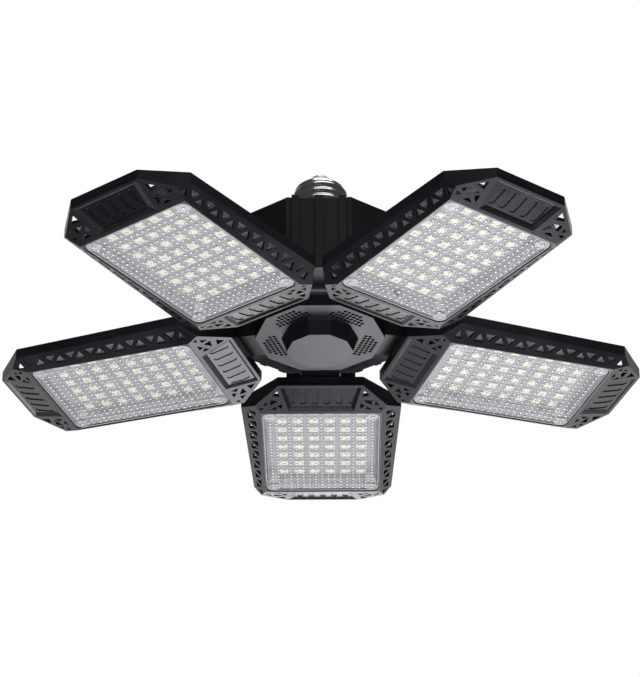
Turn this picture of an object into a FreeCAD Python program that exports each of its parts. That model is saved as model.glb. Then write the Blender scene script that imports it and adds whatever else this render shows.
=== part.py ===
"""Deformable garage light: a screw-in hub with five hinged LED panels.

Frame: +Z up with the screw base up, origin on the axis at the lower rim of the screw
shell. Pieces are drawn with z = 0 in the lower plane of the vented cap, and lowered by
NECK_TOP when they are written. Each panel is drawn along +X (x = distance from the axis,
y = across the panel) and turned to its place. Lengths are millimetres.
"""
import FreeCAD, Part
import math
import os

V = FreeCAD.Vector
UP = V(0, 0, 1)

# ---- panels: layout -------------------------------------------------------------------
PANEL_ANGLES = (90, 162, 234, 306, 18)
HINGE_INSET = 8.2           # inner end of a panel to its hinge axis
INNER_WIDTH = 77.0          # across the inner corners
OUTER_WIDTH = 69.8          # across the outer corners
INNER_END_WIDTH = 40.5
OUTER_END_WIDTH = 36.4
INNER_CORNER_RUN = 20.0     # how far the corner cuts reach along the panel
OUTER_CORNER_RUN = 14.8
BACK_Z = 0.6                # back plane of the panels
SIDE_HEIGHT = 4.8           # upright side wall, above the slopes
PANEL_DEPTH = 9.9           # back plane to lens face

# ---- panels: frame walls --------------------------------------------------------------
SIDE_WALL = 1.8
STRIP_WALL = 1.6            # sloping walls along the long sides
END_WALL = 2.1              # sloping walls at the two ends
LIP_THICKNESS = 1.6         # lip that the lens sits behind
RIM_WIDTH = 0.55            # flat rim around the lens opening
OPEN_BACK = 5.0             # the hollow runs on this far past the back plane

# ---- panels: lens ---------------------------------------------------------------------
LENS_LENGTH = 78.2
LENS_WIDTH = 56.2
LENS_OFFSET = 18.6          # inner end of the panel to the lens
LENS_END_RUN = 19.4         # lens to the outer end of the panel
LENS_CORNER = 3.5
LENS_GAP = 0.3
LENS_RECESS = 0.4           # lens face behind the rim
LENS_PLATE = 1.4
LENS_WALL = 1.1             # side walls of the lens tray, which reach the heat sink
LENS_TOP_GAP = 0.1
FLANGE_WIDTH = 1.1          # flange behind the lip
FLANGE_DEPTH = 1.3
POST_RADIUS = 2.9           # spacer posts at the lens corners
POST_INSET = 3.6

# ---- panels: lights and cooling -------------------------------------------------------
LED_COLUMNS = 6
LED_ROWS = 8
LED_COLUMN_PITCH = 7.75
LED_ROW_PITCH = 8.5
CHIP_WIDTH = 4.0
CHIP_LENGTH = 3.4
CHIP_HEIGHT = 0.6
BOARD_GAP = 0.2             # board to the walls of the lens tray
BOARD_THICKNESS = 1.2
SINK_REACH = 6.4            # heat sink past each end of the lens
SINK_SIDE_GAP = 1.7         # heat sink to the side walls of the frame
SINK_TONGUE_HALF = 14.5     # half width of the tongue at the inner end
SINK_TONGUE = 3.2
SINK_INNER_CUT = 6.0
SINK_OUTER_CUT = 4.0
SINK_THICKNESS = 1.8
SINK_NOTCH_AT = 12.6        # notch in each long edge, outwards from the lens middle
SINK_NOTCH_LENGTH = 5.0
SINK_NOTCH_DEPTH = 2.4
FIN_COUNT = 10
FIN_PITCH = 5.6
FIN_THICKNESS = 1.4
FIN_HEIGHT = 2.4
FIN_END_MARGIN = 5.4
PANEL_SCREW_BEYOND = 3.6    # screws past each end of the lens
PANEL_SCREW_Y = 11.2
BOSS_RADIUS = 2.4

# ---- panels: pattern of openings and recesses -----------------------------------------
TRUSS_START = 25.0          # first upper triangle, from the inner end of the panel
TRUSS_PITCH = 10.05
TRUSS_COUNT = 8
TRUSS_HALF_BASE = 2.8
TRUSS_LOW = 0.26            # share of the slope from rim to shoulder
TRUSS_HIGH = 0.71
TRUSS_TIP_GAP = 0.04
TRUSS_END_HALF_BASE = 1.9
TRUSS_CUT_DEPTH = 4.1       # cut depth below the outer face of the wall
# corner openings: (distance up the slope from the rim, distance from the centre line)
OUTER_WEB = (((12.1, 23.8), (11.1, 19.2), (15.6, 19.8)),
             ((9.6, 24.7), (8.8, 19.4), (5.8, 24.7)),
             ((7.4, 28.2), (9.0, 26.2), (6.3, 26.2)),
             ((5.6, 29.2), (5.0, 26.2), (3.2, 28.4)),
             ((6.4, 20.8), (8.0, 18.8), (3.4, 17.8)),
             ((2.7, 24.4), (4.5, 22.1), (2.7, 19.4)))
INNER_WEB = (((11.8, 23.4), (11.0, 19.6), (14.8, 20.6)),
             ((9.2, 24.5), (8.5, 20.2), (5.7, 24.0)),
             ((5.3, 28.2), (8.3, 26.0), (5.4, 25.6)),
             ((4.1, 29.6), (3.5, 27.3), (2.3, 28.9)),
             ((5.2, 20.9), (6.7, 18.7), (3.2, 18.7)),
             ((2.6, 24.4), (4.8, 21.9), (2.6, 20.9)))
WEB_CUT_DEPTH = 4.6         # cut depth below the outer face of the end wall
RECESS_DEPTH = 0.9
RECESS_RIM_GAP = 1.6        # slope left plain at the rim and at the shoulder
RECESS_SHOULDER_GAP = 1.4
RECESS_LOW_BEVEL = 2.3      # width of the bevels round the recess floor
RECESS_HIGH_BEVEL = 1.0
# half width at the rim and at the shoulder, and the width of the side bevels
OUTER_RECESS = (14.9, 17.6, 2.8)
INNER_RECESS = (15.6, 19.4, 1.6)
GROOVE_WIDTH = 2.8
GROOVE_DEPTH = 0.35
GROOVE_PITCH = 5.75
GROOVE_END_GAP = 1.4
GROOVE_SIDE_GAP = 0.4       # grooves near the sides stop this far from the bevel
OUTER_GROOVE_COUNT = 5
INNER_GROOVE_COUNT = 6

# ---- hinges ---------------------------------------------------------------------------
HINGE_R = 44.0              # axis of the lamp to the hinge axis
HINGE_Z = 4.2
BARREL_RADIUS = 2.8
PIN_RADIUS = 1.5
PIN_RUNNING_GAP = 0.05
PIN_SEAT_GAP = 0.02
PIN_SHORT = 0.15            # pin ends stand back from the ears
PIN_LEAD_GAP = 0.8          # each pin's inner end to the lead
PIN_CHAMFER = 0.3
ARM_WIDTH = 18.0
EARS_WIDTH = 33.0
WASHER_THICKNESS = 0.4
WASHER_GAP = 0.05
WASHER_RADIUS = 2.5
ARM_TIP_Z = 3.2             # the arm's underside where it meets the barrel
ARM_HEEL_GAP = 0.8          # arm to the rim of the cap
ARM_ABOVE_CAP = 0.4
WINDOW_DROP = 1.6           # opening in the barrel, where the lead leaves and swings

# ---- hub ------------------------------------------------------------------------------
SIDES = 10
CAP_APOTHEM = 28.6
CAP_THICKNESS = 1.8
BOSS_BASE_APOTHEM = 16.9
BOSS_FACE_APOTHEM = 14.55
BOSS_DROP = 7.0
BOSS_WALL = 1.8
VENT_ROWS = (5, 7, 9, 9)
VENT_PITCH = 2.06
VENT_FIRST = 25.75          # axis to the outermost row
VENT_RADIUS = 0.8
BASE_WALL = 2.2
HOUSING_APOTHEM = 46.1
HOUSING_BOTTOM = 8.4
HOUSING_TOP = 47.0
HOUSING_WALL = 2.0
FLOOR_THICKNESS = 2.2
FLOOR_GAP = 0.2
LEDGE_WIDTH = 1.6
LEDGE_HEIGHT = 2.0
COVE_RADIUS = 4.0
COVE_STEPS = 5
PILASTER_WIDTH = 3.5
PILASTER_SPACING = 10.8
PILASTER_PROUD = 0.9
PILASTER_RISE = 1.1
CORNER_STRIP_WIDTH = 2.1
CORNER_STRIP_PROUD = 0.4

# ---- neck and screw base --------------------------------------------------------------
NECK_FLANGE_RADIUS = 34.4
NECK_FLANGE = 2.0
NECK_FOOT_RADIUS = 29.5
NECK_TOP_RADIUS = 15.5
NECK_CONE_TOP = 60.0
NECK_TOP = 63.6
NECK_WALL = 2.0
SPIGOT_RADIUS = 11.4
SPIGOT_HEIGHT = 7.0
THREAD_MEAN_RADIUS = 12.7
THREAD_SWING = 0.35         # half the thread depth
THREAD_PITCH = 3.629
THREAD_STEPS = 12           # sections per turn
SHELL_TOP = 82.6
SHELL_SKIRT = 1.2
SHELL_BORE = 11.7
SHELL_MOUTH = 11.1
SHELL_SHOULDER = 2.4
SHELL_SHOULDER_RADIUS = 12.25
SHELL_SHOULDER_BEVEL = (0.3, 1.5, 0.6)      # inwards; top of the upright; top of the bevel
SHELL_RIM = 0.4             # flat ring round the mouth
SHELL_LIP = 1.1
SHELL_OVERLAP = 0.2         # where the stages of the shell run into each other
INSULATOR_CONE_TOP = 87.4
INSULATOR_TOP_RADIUS = 5.8
INSULATOR_SEAT = 3.0
INSULATOR_GAP = 0.3         # insulator to the shell and to the contact's stem
CONTACT_TOP = 89.8
CONTACT_RADIUS = 4.9
CONTACT_FLAT_RADIUS = 3.2
CONTACT_STEM_RADIUS = 1.2
CONTACT_EDGE = 0.9          # upright edge, then a bevel (inwards, down from the top)
CONTACT_BEVEL = (0.5, 0.6)
NECK_SCREW_RADIUS = 32.0        # screw centres from the axis
NECK_SCREWS = 4

# ---- driver ---------------------------------------------------------------------------
DRIVER_RADIUS = 31.0
DRIVER_Z = 20.0
DRIVER_THICKNESS = 1.6
DRIVER_POST_AT = 29.5       # post centres from the axis
DRIVER_POST_RADIUS = 3.2
DRIVER_POST_ANGLES = (36, 108, 180, 252, 324)
TRANSFORMER_SIZE = (18.0, 15.0, 13.0)
TRANSFORMER_AT = (-9.0, 10.0)
TRANSFORMER_CORNER = 1.0
CAPACITOR_RADIUS = 4.0
CAPACITOR_HEIGHT = 13.0
CAPACITOR_PLACES = ((13.0, 4.0), (13.0, -5.5), (4.5, -13.0))
DRIVER_CHIP_SIZES = ((6.0, 5.0, 1.8), (8.0, 3.5, 2.4), (4.0, 8.0, 2.2))
DRIVER_CHIP_PLACES = ((-8.0, -8.0), (-16.0, -2.0), (-6.0, -17.0))

# ---- leads and screws -----------------------------------------------------------------
LEAD_RADIUS = 0.6
LEAD_CLEARANCE = 0.1        # lead to the board or wall it lies along
LEAD_BEND_SHARE = 0.45      # share of the shorter run that a bend takes up
LEAD_JOIN_GAP = 0.05        # the two halves of a lead meet here, on the hinge axis
LEAD_Y = 2.2                # each half comes in this far to its side of the middle
LEAD_DROP_AT = 3.6          # hinge axis to the run down into the panel
LEAD_OVERLAP = 2.2          # lead laid on the board
SLOT_GAP = 0.7              # lead to its slots in the lens wall and the heat sink
WINDOW_GAP = 0.5            # lead to the sides of the opening in the barrel
CHANNEL_GAP = 0.3           # lead to its channel through the arm
CHANNEL_TOP = (20.0, 9.6)   # the lead bends down into the channel's line here
CHANNEL_MOUTH = 25.0        # the channel is cut from here outwards
CONTACT_LEAD_BOW = 3.0      # slack in the lead to the centre contact
CONTACT_LEAD_STRAIGHT = 14.0
SHELL_LEAD_START = (5.0, 14.0)
SHELL_LEAD_RISE = 10.0
SHELL_LEAD_TURN_Z = 55.0
SHELL_LEAD_INSET = 1.4      # from the wall of the neck's bore
SHELL_LEAD_EXIT = (1.5, 5.5)        # above the spigot: last bend, end on the shell
SCREW_RADIUS = 1.2
SCREW_HEAD_RADIUS = 2.1
SCREW_HEAD_HEIGHT = 1.3
SCREW_LENGTH = 5.0
SCREW_HOLE_GAP = 0.1
SCREW_HOLE_SPARE = 1.0      # blind holes are this much deeper than the screw
SLOT_WIDTH = 0.7
SLOT_DEPTH = 0.6

# ---- derived places -------------------------------------------------------------------
PANEL_START = HINGE_R - HINGE_INSET
PANEL_END = PANEL_START + LENS_OFFSET + LENS_LENGTH + LENS_END_RUN
SHOULDER_Z = BACK_Z - SIDE_HEIGHT
FACE_Z = BACK_Z - PANEL_DEPTH
LENS_START = PANEL_START + LENS_OFFSET
LENS_MID = LENS_START + LENS_LENGTH / 2
BOARD_LENGTH = LENS_LENGTH - 2 * (LENS_WALL + BOARD_GAP)
BOARD_WIDTH = LENS_WIDTH - 2 * (LENS_WALL + BOARD_GAP)
RIM_Y = LENS_WIDTH / 2 + LENS_GAP + RIM_WIDTH
RIM_START = LENS_START - LENS_GAP - RIM_WIDTH
RIM_END = LENS_START + LENS_LENGTH + LENS_GAP + RIM_WIDTH
SINK_FRONT_Z = BACK_Z - SINK_THICKNESS
BOARD_FRONT_Z = SINK_FRONT_Z - BOARD_THICKNESS
LEAD_Z = BOARD_FRONT_Z - LEAD_RADIUS - LEAD_CLEARANCE
EAR_INNER_Y = ARM_WIDTH / 2 + WASHER_THICKNESS + 2 * WASHER_GAP
REACH = 20.0                # how far a rough body reaches past what it meets
CUT_PAST = 1.0              # how far a cutting body runs past what it cuts


# ---- shape helpers --------------------------------------------------------------------
def prism(points, push):
    """Solid between a closed flat outline and the same outline moved by push."""
    return Part.Face(Part.makePolygon(list(points) + [points[0]])).extrude(push)


def box(x0, x1, y0, y1, z0, z1):
    return Part.makeBox(x1 - x0, y1 - y0, z1 - z0, V(x0, y0, z0))


def cylinder(radius, z0, z1, x=0.0, y=0.0):
    return Part.makeCylinder(radius, z1 - z0, V(x, y, z0), UP)


def joined(shapes):
    """One solid out of overlapping shapes."""
    first, *rest = shapes
    return first.fuse(rest).removeSplitter() if rest else first


def inset(points, distances):
    """Counter-clockwise outline with edge i (point i to i+1) moved inwards by distances[i]."""
    count = len(points)
    lines = []
    for i in range(count):
        (x0, y0), (x1, y1) = points[i], points[(i + 1) % count]
        length = math.hypot(x1 - x0, y1 - y0)
        nx, ny = -(y1 - y0) / length, (x1 - x0) / length
        lines.append((nx, ny, nx * x0 + ny * y0 + distances[i]))
    corners = []
    for i in range(count):
        ax, ay, a = lines[i - 1]
        bx, by, b = lines[i]
        det = ax * by - ay * bx
        corners.append(((a * by - b * ay) / det, (ax * b - bx * a) / det))
    return corners


def regular(apothem, z, first_face=0.0):
    """Corners of a regular outline with SIDES sides, one of them facing first_face."""
    radius = apothem / math.cos(math.pi / SIDES)
    angles = [math.radians(first_face + (i + 0.5) * 360 / SIDES) for i in range(SIDES)]
    return [V(radius * math.cos(a), radius * math.sin(a), z) for a in angles]


def hub_prism(apothem, z0, z1):
    return prism(regular(apothem, z0, PANEL_ANGLES[0]), V(0, 0, z1 - z0))


def hub_frustum(apothem0, z0, apothem1, z1):
    wires = []
    for apothem, z in ((apothem0, z0), (apothem1, z1)):
        corners = regular(apothem, z, PANEL_ANGLES[0])
        wires.append(Part.makePolygon(corners + [corners[0]]))
    return Part.makeLoft(wires, True, True)


def revolved(profile):
    """Solid of revolution about the lamp's axis from (radius, z) points."""
    points = [V(r, 0, z) for r, z in profile]
    face = Part.Face(Part.makePolygon(points + [points[0]]))
    return face.revolve(V(0, 0, 0), UP, 360)


def rounded_plate(length, width, corner, x_mid, z0, z1):
    """Flat plate with rounded corners, centred on (x_mid, 0)."""
    block = box(x_mid - length / 2, x_mid + length / 2, -width / 2, width / 2, z0, z1)
    upright = [e for e in block.Edges if abs(e.Vertexes[0].Z - e.Vertexes[1].Z) > (z1 - z0) / 2]
    return block.makeFillet(corner, upright)


def turned(shape, angle):
    copy = shape.copy()
    copy.rotate(V(0, 0, 0), UP, angle)
    return copy


def lead(points):
    """Round wire along straight runs joined by tangent arcs."""
    edges = []
    start = points[0]
    for i in range(1, len(points) - 1):
        before, here, after = points[i - 1], points[i], points[i + 1]
        run_in = (here - before).normalize()
        run_out = (after - here).normalize()
        turn = run_in.getAngle(run_out)
        reach = LEAD_BEND_SHARE * min((here - before).Length, (after - here).Length)
        arc_radius = reach / math.tan(turn / 2)
        first = here - run_in * reach
        last = here + run_out * reach
        inwards = (run_out - run_in).normalize()
        middle = here + inwards * (arc_radius / math.cos(turn / 2) - arc_radius)
        edges.append(Part.LineSegment(start, first).toShape())
        edges.append(Part.Arc(first, middle, last).toShape())
        start = last
    edges.append(Part.LineSegment(start, points[-1]).toShape())
    path = Part.Wire(edges)
    direction = (points[1] - points[0]).normalize()
    ring = Part.Wire(Part.makeCircle(LEAD_RADIUS, points[0], direction))
    return path.makePipeShell([ring], True, False)


def slotted_screw(x, y, seat_z, length):
    """Pan-head screw, its head standing on seat_z."""
    head = cylinder(SCREW_HEAD_RADIUS, 0, SCREW_HEAD_HEIGHT)
    shank = cylinder(SCREW_RADIUS, -length, 0)
    slot = box(-SCREW_HEAD_RADIUS, SCREW_HEAD_RADIUS, -SLOT_WIDTH / 2, SLOT_WIDTH / 2,
               SCREW_HEAD_HEIGHT - SLOT_DEPTH, SCREW_HEAD_HEIGHT + CUT_PAST)
    screw = joined([head, shank]).cut(slot)
    screw.translate(V(x, y, seat_z))
    return screw


# ---- panel frame ----------------------------------------------------------------------
def half_width(x):
    """Half width of the panel along its tapering long side."""
    inner_x = PANEL_START + INNER_CORNER_RUN
    outer_x = PANEL_END - OUTER_CORNER_RUN
    share = (x - inner_x) / (outer_x - inner_x)
    return (INNER_WIDTH + (OUTER_WIDTH - INNER_WIDTH) * share) / 2


def panel_outline():
    """Eight corners of the panel seen from its back, counter-clockwise."""
    upper = [(PANEL_END, OUTER_END_WIDTH / 2),
             (PANEL_END - OUTER_CORNER_RUN, OUTER_WIDTH / 2),
             (PANEL_START + INNER_CORNER_RUN, INNER_WIDTH / 2),
             (PANEL_START, INNER_END_WIDTH / 2)]
    return [(x, -y) for x, y in reversed(upper)] + upper


def panel_block(side, strip, end, lip, back):
    """The panel's outer form with its walls moved inwards: upright sides, then four slopes."""
    outline = inset(panel_outline(), [side] * 8)
    block = prism([V(x, y, BACK_Z + REACH) for x, y in outline], V(0, 0, -PANEL_DEPTH - 2 * REACH))
    profile = [(PANEL_START, SHOULDER_Z), (RIM_START, FACE_Z), (RIM_END, FACE_Z),
               (PANEL_END, SHOULDER_Z), (PANEL_END, BACK_Z), (PANEL_START, BACK_Z)]
    profile = inset(profile, [end, lip, end, side, back, side])
    block = block.common(prism([V(x, -REACH * 3, z) for x, z in profile], V(0, REACH * 6, 0)))
    wires = []
    for x in (PANEL_START - CUT_PAST, PANEL_END + CUT_PAST):
        reach = half_width(x)
        section = [(-reach, SHOULDER_Z), (-RIM_Y, FACE_Z), (RIM_Y, FACE_Z),
                   (reach, SHOULDER_Z), (reach, BACK_Z), (-reach, BACK_Z)]
        section = inset(section, [strip, lip, strip, side, back, side])
        corners = [V(x, y, z) for y, z in section]
        wires.append(Part.makePolygon(corners + [corners[0]]))
    return block.common(Part.makeLoft(wires, True, True))


def strip_point(x, share, sign):
    """Point on a long slope: share 0 at the rim, 1 at the shoulder."""
    y = RIM_Y + (half_width(x) - RIM_Y) * share
    return V(x, sign * y, FACE_Z + (SHOULDER_Z - FACE_Z) * share)


def strip_hole(corners, sign):
    """Triangular opening through a long slope, from (x, share) corners."""
    points = [strip_point(x, share, sign) for x, share in corners]
    across = strip_point(corners[0][0], 1, sign) - strip_point(corners[0][0], 0, sign)
    outward = across.cross(V(sign, 0, 0)).normalize()
    outside = outward * CUT_PAST
    return prism([p + outside for p in points], -outside - outward * TRUSS_CUT_DEPTH)


def truss_holes():
    holes = []
    low_tip = TRUSS_LOW + TRUSS_TIP_GAP
    high_tip = TRUSS_HIGH - TRUSS_TIP_GAP
    for sign in (-1, 1):
        for i in range(TRUSS_COUNT):
            x = PANEL_START + TRUSS_START + i * TRUSS_PITCH
            holes.append(strip_hole([(x - TRUSS_HALF_BASE, TRUSS_HIGH),
                                     (x + TRUSS_HALF_BASE, TRUSS_HIGH), (x, low_tip)], sign))
        for i in range(TRUSS_COUNT + 1):
            x = PANEL_START + TRUSS_START + (i - 0.5) * TRUSS_PITCH
            half = TRUSS_HALF_BASE if 0 < i < TRUSS_COUNT else TRUSS_END_HALF_BASE
            holes.append(strip_hole([(x - half, TRUSS_LOW), (x + half, TRUSS_LOW),
                                     (x, high_tip)], sign))
    return holes


def on_slope(shape, outer):
    """Place a shape drawn on an end slope: x up the slope from the rim, z into the frame."""
    run = PANEL_END - RIM_END if outer else RIM_START - PANEL_START
    lean = math.degrees(math.atan2(SHOULDER_Z - FACE_Z, run))
    shape.rotate(V(0, 0, 0), V(0, 1, 0), -lean)
    if not outer:
        shape.rotate(V(0, 0, 0), UP, 180)
    shape.translate(V(RIM_END if outer else RIM_START, 0, FACE_Z))
    return shape


def slope_length(outer):
    run = PANEL_END - RIM_END if outer else RIM_START - PANEL_START
    return math.hypot(run, SHOULDER_Z - FACE_Z)


def web_holes(outer):
    """Triangular openings in the two corners of an end slope."""
    holes = []
    for corners in (OUTER_WEB if outer else INNER_WEB):
        for sign in (-1, 1):
            points = [V(up, sign * across, -CUT_PAST) for up, across in corners]
            holes.append(on_slope(prism(points, V(0, 0, CUT_PAST + WEB_CUT_DEPTH)), outer))
    return holes


def end_recess(outer):
    """Bevelled recess in an end slope, with a row of shallow round-ended grooves."""
    low_half, high_half, side_bevel = OUTER_RECESS if outer else INNER_RECESS
    low = RECESS_RIM_GAP
    high = slope_length(outer) - RECESS_SHOULDER_GAP
    mouth = [(low, -low_half), (high, -high_half), (high, high_half), (low, low_half)]
    floor = inset(mouth, [side_bevel, RECESS_HIGH_BEVEL, side_bevel, RECESS_LOW_BEVEL])
    wires = []
    for outline, depth in ((mouth, 0), (floor, RECESS_DEPTH)):
        corners = [V(x, y, depth) for x, y in outline]
        wires.append(Part.makePolygon(corners + [corners[0]]))
    grooves = []
    start = floor[0][0] + GROOVE_END_GAP + GROOVE_WIDTH / 2
    stop = floor[1][0] - GROOVE_END_GAP - GROOVE_WIDTH / 2
    deep = RECESS_DEPTH + GROOVE_DEPTH
    count = OUTER_GROOVE_COUNT if outer else INNER_GROOVE_COUNT
    for i in range(count):
        y = (i - (count - 1) / 2) * GROOVE_PITCH
        grooves.append(joined([box(start, stop, y - GROOVE_WIDTH / 2, y + GROOVE_WIDTH / 2, 0, deep),
                               cylinder(GROOVE_WIDTH / 2, 0, deep, start, y),
                               cylinder(GROOVE_WIDTH / 2, 0, deep, stop, y)]))
    within = prism([V(x, y, 0) for x, y in inset(floor, [GROOVE_SIDE_GAP] * 4)], V(0, 0, deep))
    mouth_room = prism([V(x, y, -CUT_PAST) for x, y in mouth], V(0, 0, CUT_PAST))
    cuts = [Part.makeLoft(wires, True, True), mouth_room]
    cuts += [groove.common(within) for groove in grooves]
    return on_slope(joined(cuts), outer)


def slope_z(x):
    """Height of the inner end slope's outer face at distance x from the axis."""
    share = (x - PANEL_START) / (RIM_START - PANEL_START)
    return SHOULDER_Z + (FACE_Z - SHOULDER_Z) * share


def hinge_ears():
    """Two ears that carry the pin, standing on the inner end slope."""
    buried = (RECESS_DEPTH + GROOVE_DEPTH + END_WALL) / 2
    inner_x, outer_x = HINGE_R - BARREL_RADIUS, HINGE_R + BARREL_RADIUS
    ears = []
    for start in (EAR_INNER_Y, -EARS_WIDTH / 2):
        width = EARS_WIDTH / 2 - EAR_INNER_Y
        leg = [V(inner_x, start, HINGE_Z), V(outer_x, start, HINGE_Z),
               V(outer_x, start, slope_z(outer_x) + buried),
               V(inner_x, start, slope_z(inner_x) + buried)]
        ears.append(prism(leg, V(0, width, 0)))
        ears.append(Part.makeCylinder(BARREL_RADIUS, width, V(HINGE_R, start, HINGE_Z), V(0, 1, 0)))
    return ears


def screw_places():
    ends = (LENS_START - PANEL_SCREW_BEYOND, LENS_START + LENS_LENGTH + PANEL_SCREW_BEYOND)
    return [(x, sign * PANEL_SCREW_Y) for x in ends for sign in (-1, 1)]


def pin_bore(radius, width):
    return Part.makeCylinder(radius, width + 2 * CUT_PAST,
                             V(HINGE_R, -width / 2 - CUT_PAST, HINGE_Z), V(0, 1, 0))


def flange_space(gap):
    """Room that the lens flange takes behind the lip."""
    grow = 2 * (FLANGE_WIDTH + gap)
    flange_front = FACE_Z + LIP_THICKNESS
    return rounded_plate(LENS_LENGTH + grow, LENS_WIDTH + grow, LENS_CORNER, LENS_MID,
                         flange_front, flange_front + FLANGE_DEPTH + gap)


def make_panel_frame():
    outer = panel_block(0, 0, 0, 0, 0)
    shell = outer.cut(panel_block(SIDE_WALL, STRIP_WALL, END_WALL, LIP_THICKNESS, -OPEN_BACK))
    bosses = [cylinder(BOSS_RADIUS, FACE_Z, SINK_FRONT_Z, x, y) for x, y in screw_places()]
    frame = joined([shell] + [boss.common(outer) for boss in bosses] + hinge_ears())
    opening = rounded_plate(LENS_LENGTH + 2 * LENS_GAP, LENS_WIDTH + 2 * LENS_GAP,
                            LENS_CORNER + LENS_GAP, LENS_MID,
                            FACE_Z - CUT_PAST, FACE_Z + LIP_THICKNESS + CUT_PAST)
    screw_hole = SCREW_RADIUS + SCREW_HOLE_GAP
    screw_holes = [cylinder(screw_hole, SINK_FRONT_Z - SCREW_LENGTH, BACK_Z, x, y)
                   for x, y in screw_places()]
    cuts = [opening, flange_space(LENS_GAP), pin_bore(PIN_RADIUS + PIN_SEAT_GAP, EARS_WIDTH)]
    cuts += screw_holes + truss_holes()
    for end in (True, False):
        cuts += web_holes(end) + [end_recess(end)]
    return frame.cut(Part.makeCompound(cuts))


# ---- panel contents -------------------------------------------------------------------
def lead_room(x0, x1, z0, z1):
    """Slot for the lead, at its distance from the middle of the panel."""
    half = LEAD_RADIUS + SLOT_GAP
    return box(x0, x1, LEAD_Y - half, LEAD_Y + half, z0, z1)


def make_lens():
    """Clear tray: a plate, a flange behind the frame's lip, side walls and spacer posts."""
    face = FACE_Z + LENS_RECESS
    top = SINK_FRONT_Z - LENS_TOP_GAP
    tray = rounded_plate(LENS_LENGTH, LENS_WIDTH, LENS_CORNER, LENS_MID, face, top)
    grow = 2 * FLANGE_WIDTH
    flange_front = FACE_Z + LIP_THICKNESS
    flange = rounded_plate(LENS_LENGTH + grow, LENS_WIDTH + grow, LENS_CORNER, LENS_MID,
                           flange_front, flange_front + FLANGE_DEPTH)
    hollow = rounded_plate(LENS_LENGTH - 2 * LENS_WALL, LENS_WIDTH - 2 * LENS_WALL,
                           LENS_CORNER - LENS_WALL, LENS_MID, face + LENS_PLATE, top + CUT_PAST)
    slot = lead_room(LENS_START - CUT_PAST, LENS_START + LENS_WALL + CUT_PAST,
                     LEAD_Z - LEAD_RADIUS - SLOT_GAP, top + CUT_PAST)
    posts = []
    for along in (-1, 1):
        for across in (-1, 1):
            posts.append(cylinder(POST_RADIUS, face + LENS_PLATE / 2, BOARD_FRONT_Z,
                                  LENS_MID + along * (LENS_LENGTH / 2 - POST_INSET),
                                  across * (LENS_WIDTH / 2 - POST_INSET)))
    return joined([joined([tray, flange]).cut(hollow)] + posts).cut(slot)


def make_led_board():
    corner = LENS_CORNER - LENS_WALL - BOARD_GAP
    return rounded_plate(BOARD_LENGTH, BOARD_WIDTH, corner, LENS_MID, BOARD_FRONT_Z, SINK_FRONT_Z)


def make_led_chips():
    chips = []
    for row in range(LED_ROWS):
        for column in range(LED_COLUMNS):
            x = LENS_MID + (row - (LED_ROWS - 1) / 2) * LED_ROW_PITCH
            y = (column - (LED_COLUMNS - 1) / 2) * LED_COLUMN_PITCH
            chips.append(box(x - CHIP_LENGTH / 2, x + CHIP_LENGTH / 2, y - CHIP_WIDTH / 2,
                             y + CHIP_WIDTH / 2, BOARD_FRONT_Z - CHIP_HEIGHT, BOARD_FRONT_Z))
    return Part.makeCompound(chips)


def sink_half(x):
    return half_width(x) - SIDE_WALL - SINK_SIDE_GAP


def make_heat_sink():
    """Plate that follows the frame's taper, with fins on its back."""
    start = LENS_START - SINK_REACH
    end = LENS_START + LENS_LENGTH + SINK_REACH
    step = start + SINK_TONGUE
    upper = [(end, sink_half(end) - SINK_OUTER_CUT),
             (end - SINK_OUTER_CUT, sink_half(end - SINK_OUTER_CUT)),
             (step + SINK_INNER_CUT, sink_half(step + SINK_INNER_CUT)),
             (step, sink_half(step) - SINK_INNER_CUT),
             (step, SINK_TONGUE_HALF + SINK_TONGUE), (start, SINK_TONGUE_HALF)]
    outline = [(x, -y) for x, y in reversed(upper)] + upper
    plate = prism([V(x, y, SINK_FRONT_Z) for x, y in outline], V(0, 0, SINK_THICKNESS))
    fins = []
    for i in range(FIN_COUNT):
        y = (i - (FIN_COUNT - 1) / 2) * FIN_PITCH
        fins.append(box(start + FIN_END_MARGIN, end - FIN_END_MARGIN, y - FIN_THICKNESS / 2,
                        y + FIN_THICKNESS / 2, BACK_Z - SINK_THICKNESS / 2, BACK_Z + FIN_HEIGHT))
    low, high = SINK_FRONT_Z - CUT_PAST, BACK_Z + CUT_PAST
    cuts = [cylinder(SCREW_RADIUS + SCREW_HOLE_GAP, low, high, x, y) for x, y in screw_places()]
    slot_end = HINGE_R + LEAD_DROP_AT + LEAD_RADIUS + SLOT_GAP
    cuts.append(lead_room(start - CUT_PAST, slot_end, low, high))
    notch_x = LENS_MID + SINK_NOTCH_AT
    bottom = sink_half(notch_x) - SINK_NOTCH_DEPTH
    for y0, y1 in ((bottom, bottom + REACH), (-bottom - REACH, -bottom)):
        cuts.append(box(notch_x - SINK_NOTCH_LENGTH / 2, notch_x + SINK_NOTCH_LENGTH / 2,
                        y0, y1, low, high))
    return joined([plate] + fins).cut(Part.makeCompound(cuts))


def make_panel_screws():
    length = SINK_THICKNESS + SCREW_LENGTH - SCREW_HOLE_SPARE
    return Part.makeCompound([slotted_screw(x, y, BACK_Z, length) for x, y in screw_places()])


def make_hinge_pins():
    """Two pins, one from each ear to the middle of the arm's barrel."""
    inner_end = LEAD_Y + LEAD_RADIUS + PIN_LEAD_GAP
    length = EARS_WIDTH / 2 - PIN_SHORT - inner_end
    pins = []
    for start in (inner_end, -inner_end - length):
        pin = Part.makeCylinder(PIN_RADIUS, length, V(HINGE_R, start, HINGE_Z), V(0, 1, 0))
        rims = [e for e in pin.Edges if e.Closed]
        pins.append(pin.makeChamfer(PIN_CHAMFER, rims))
    return Part.makeCompound(pins)


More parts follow.
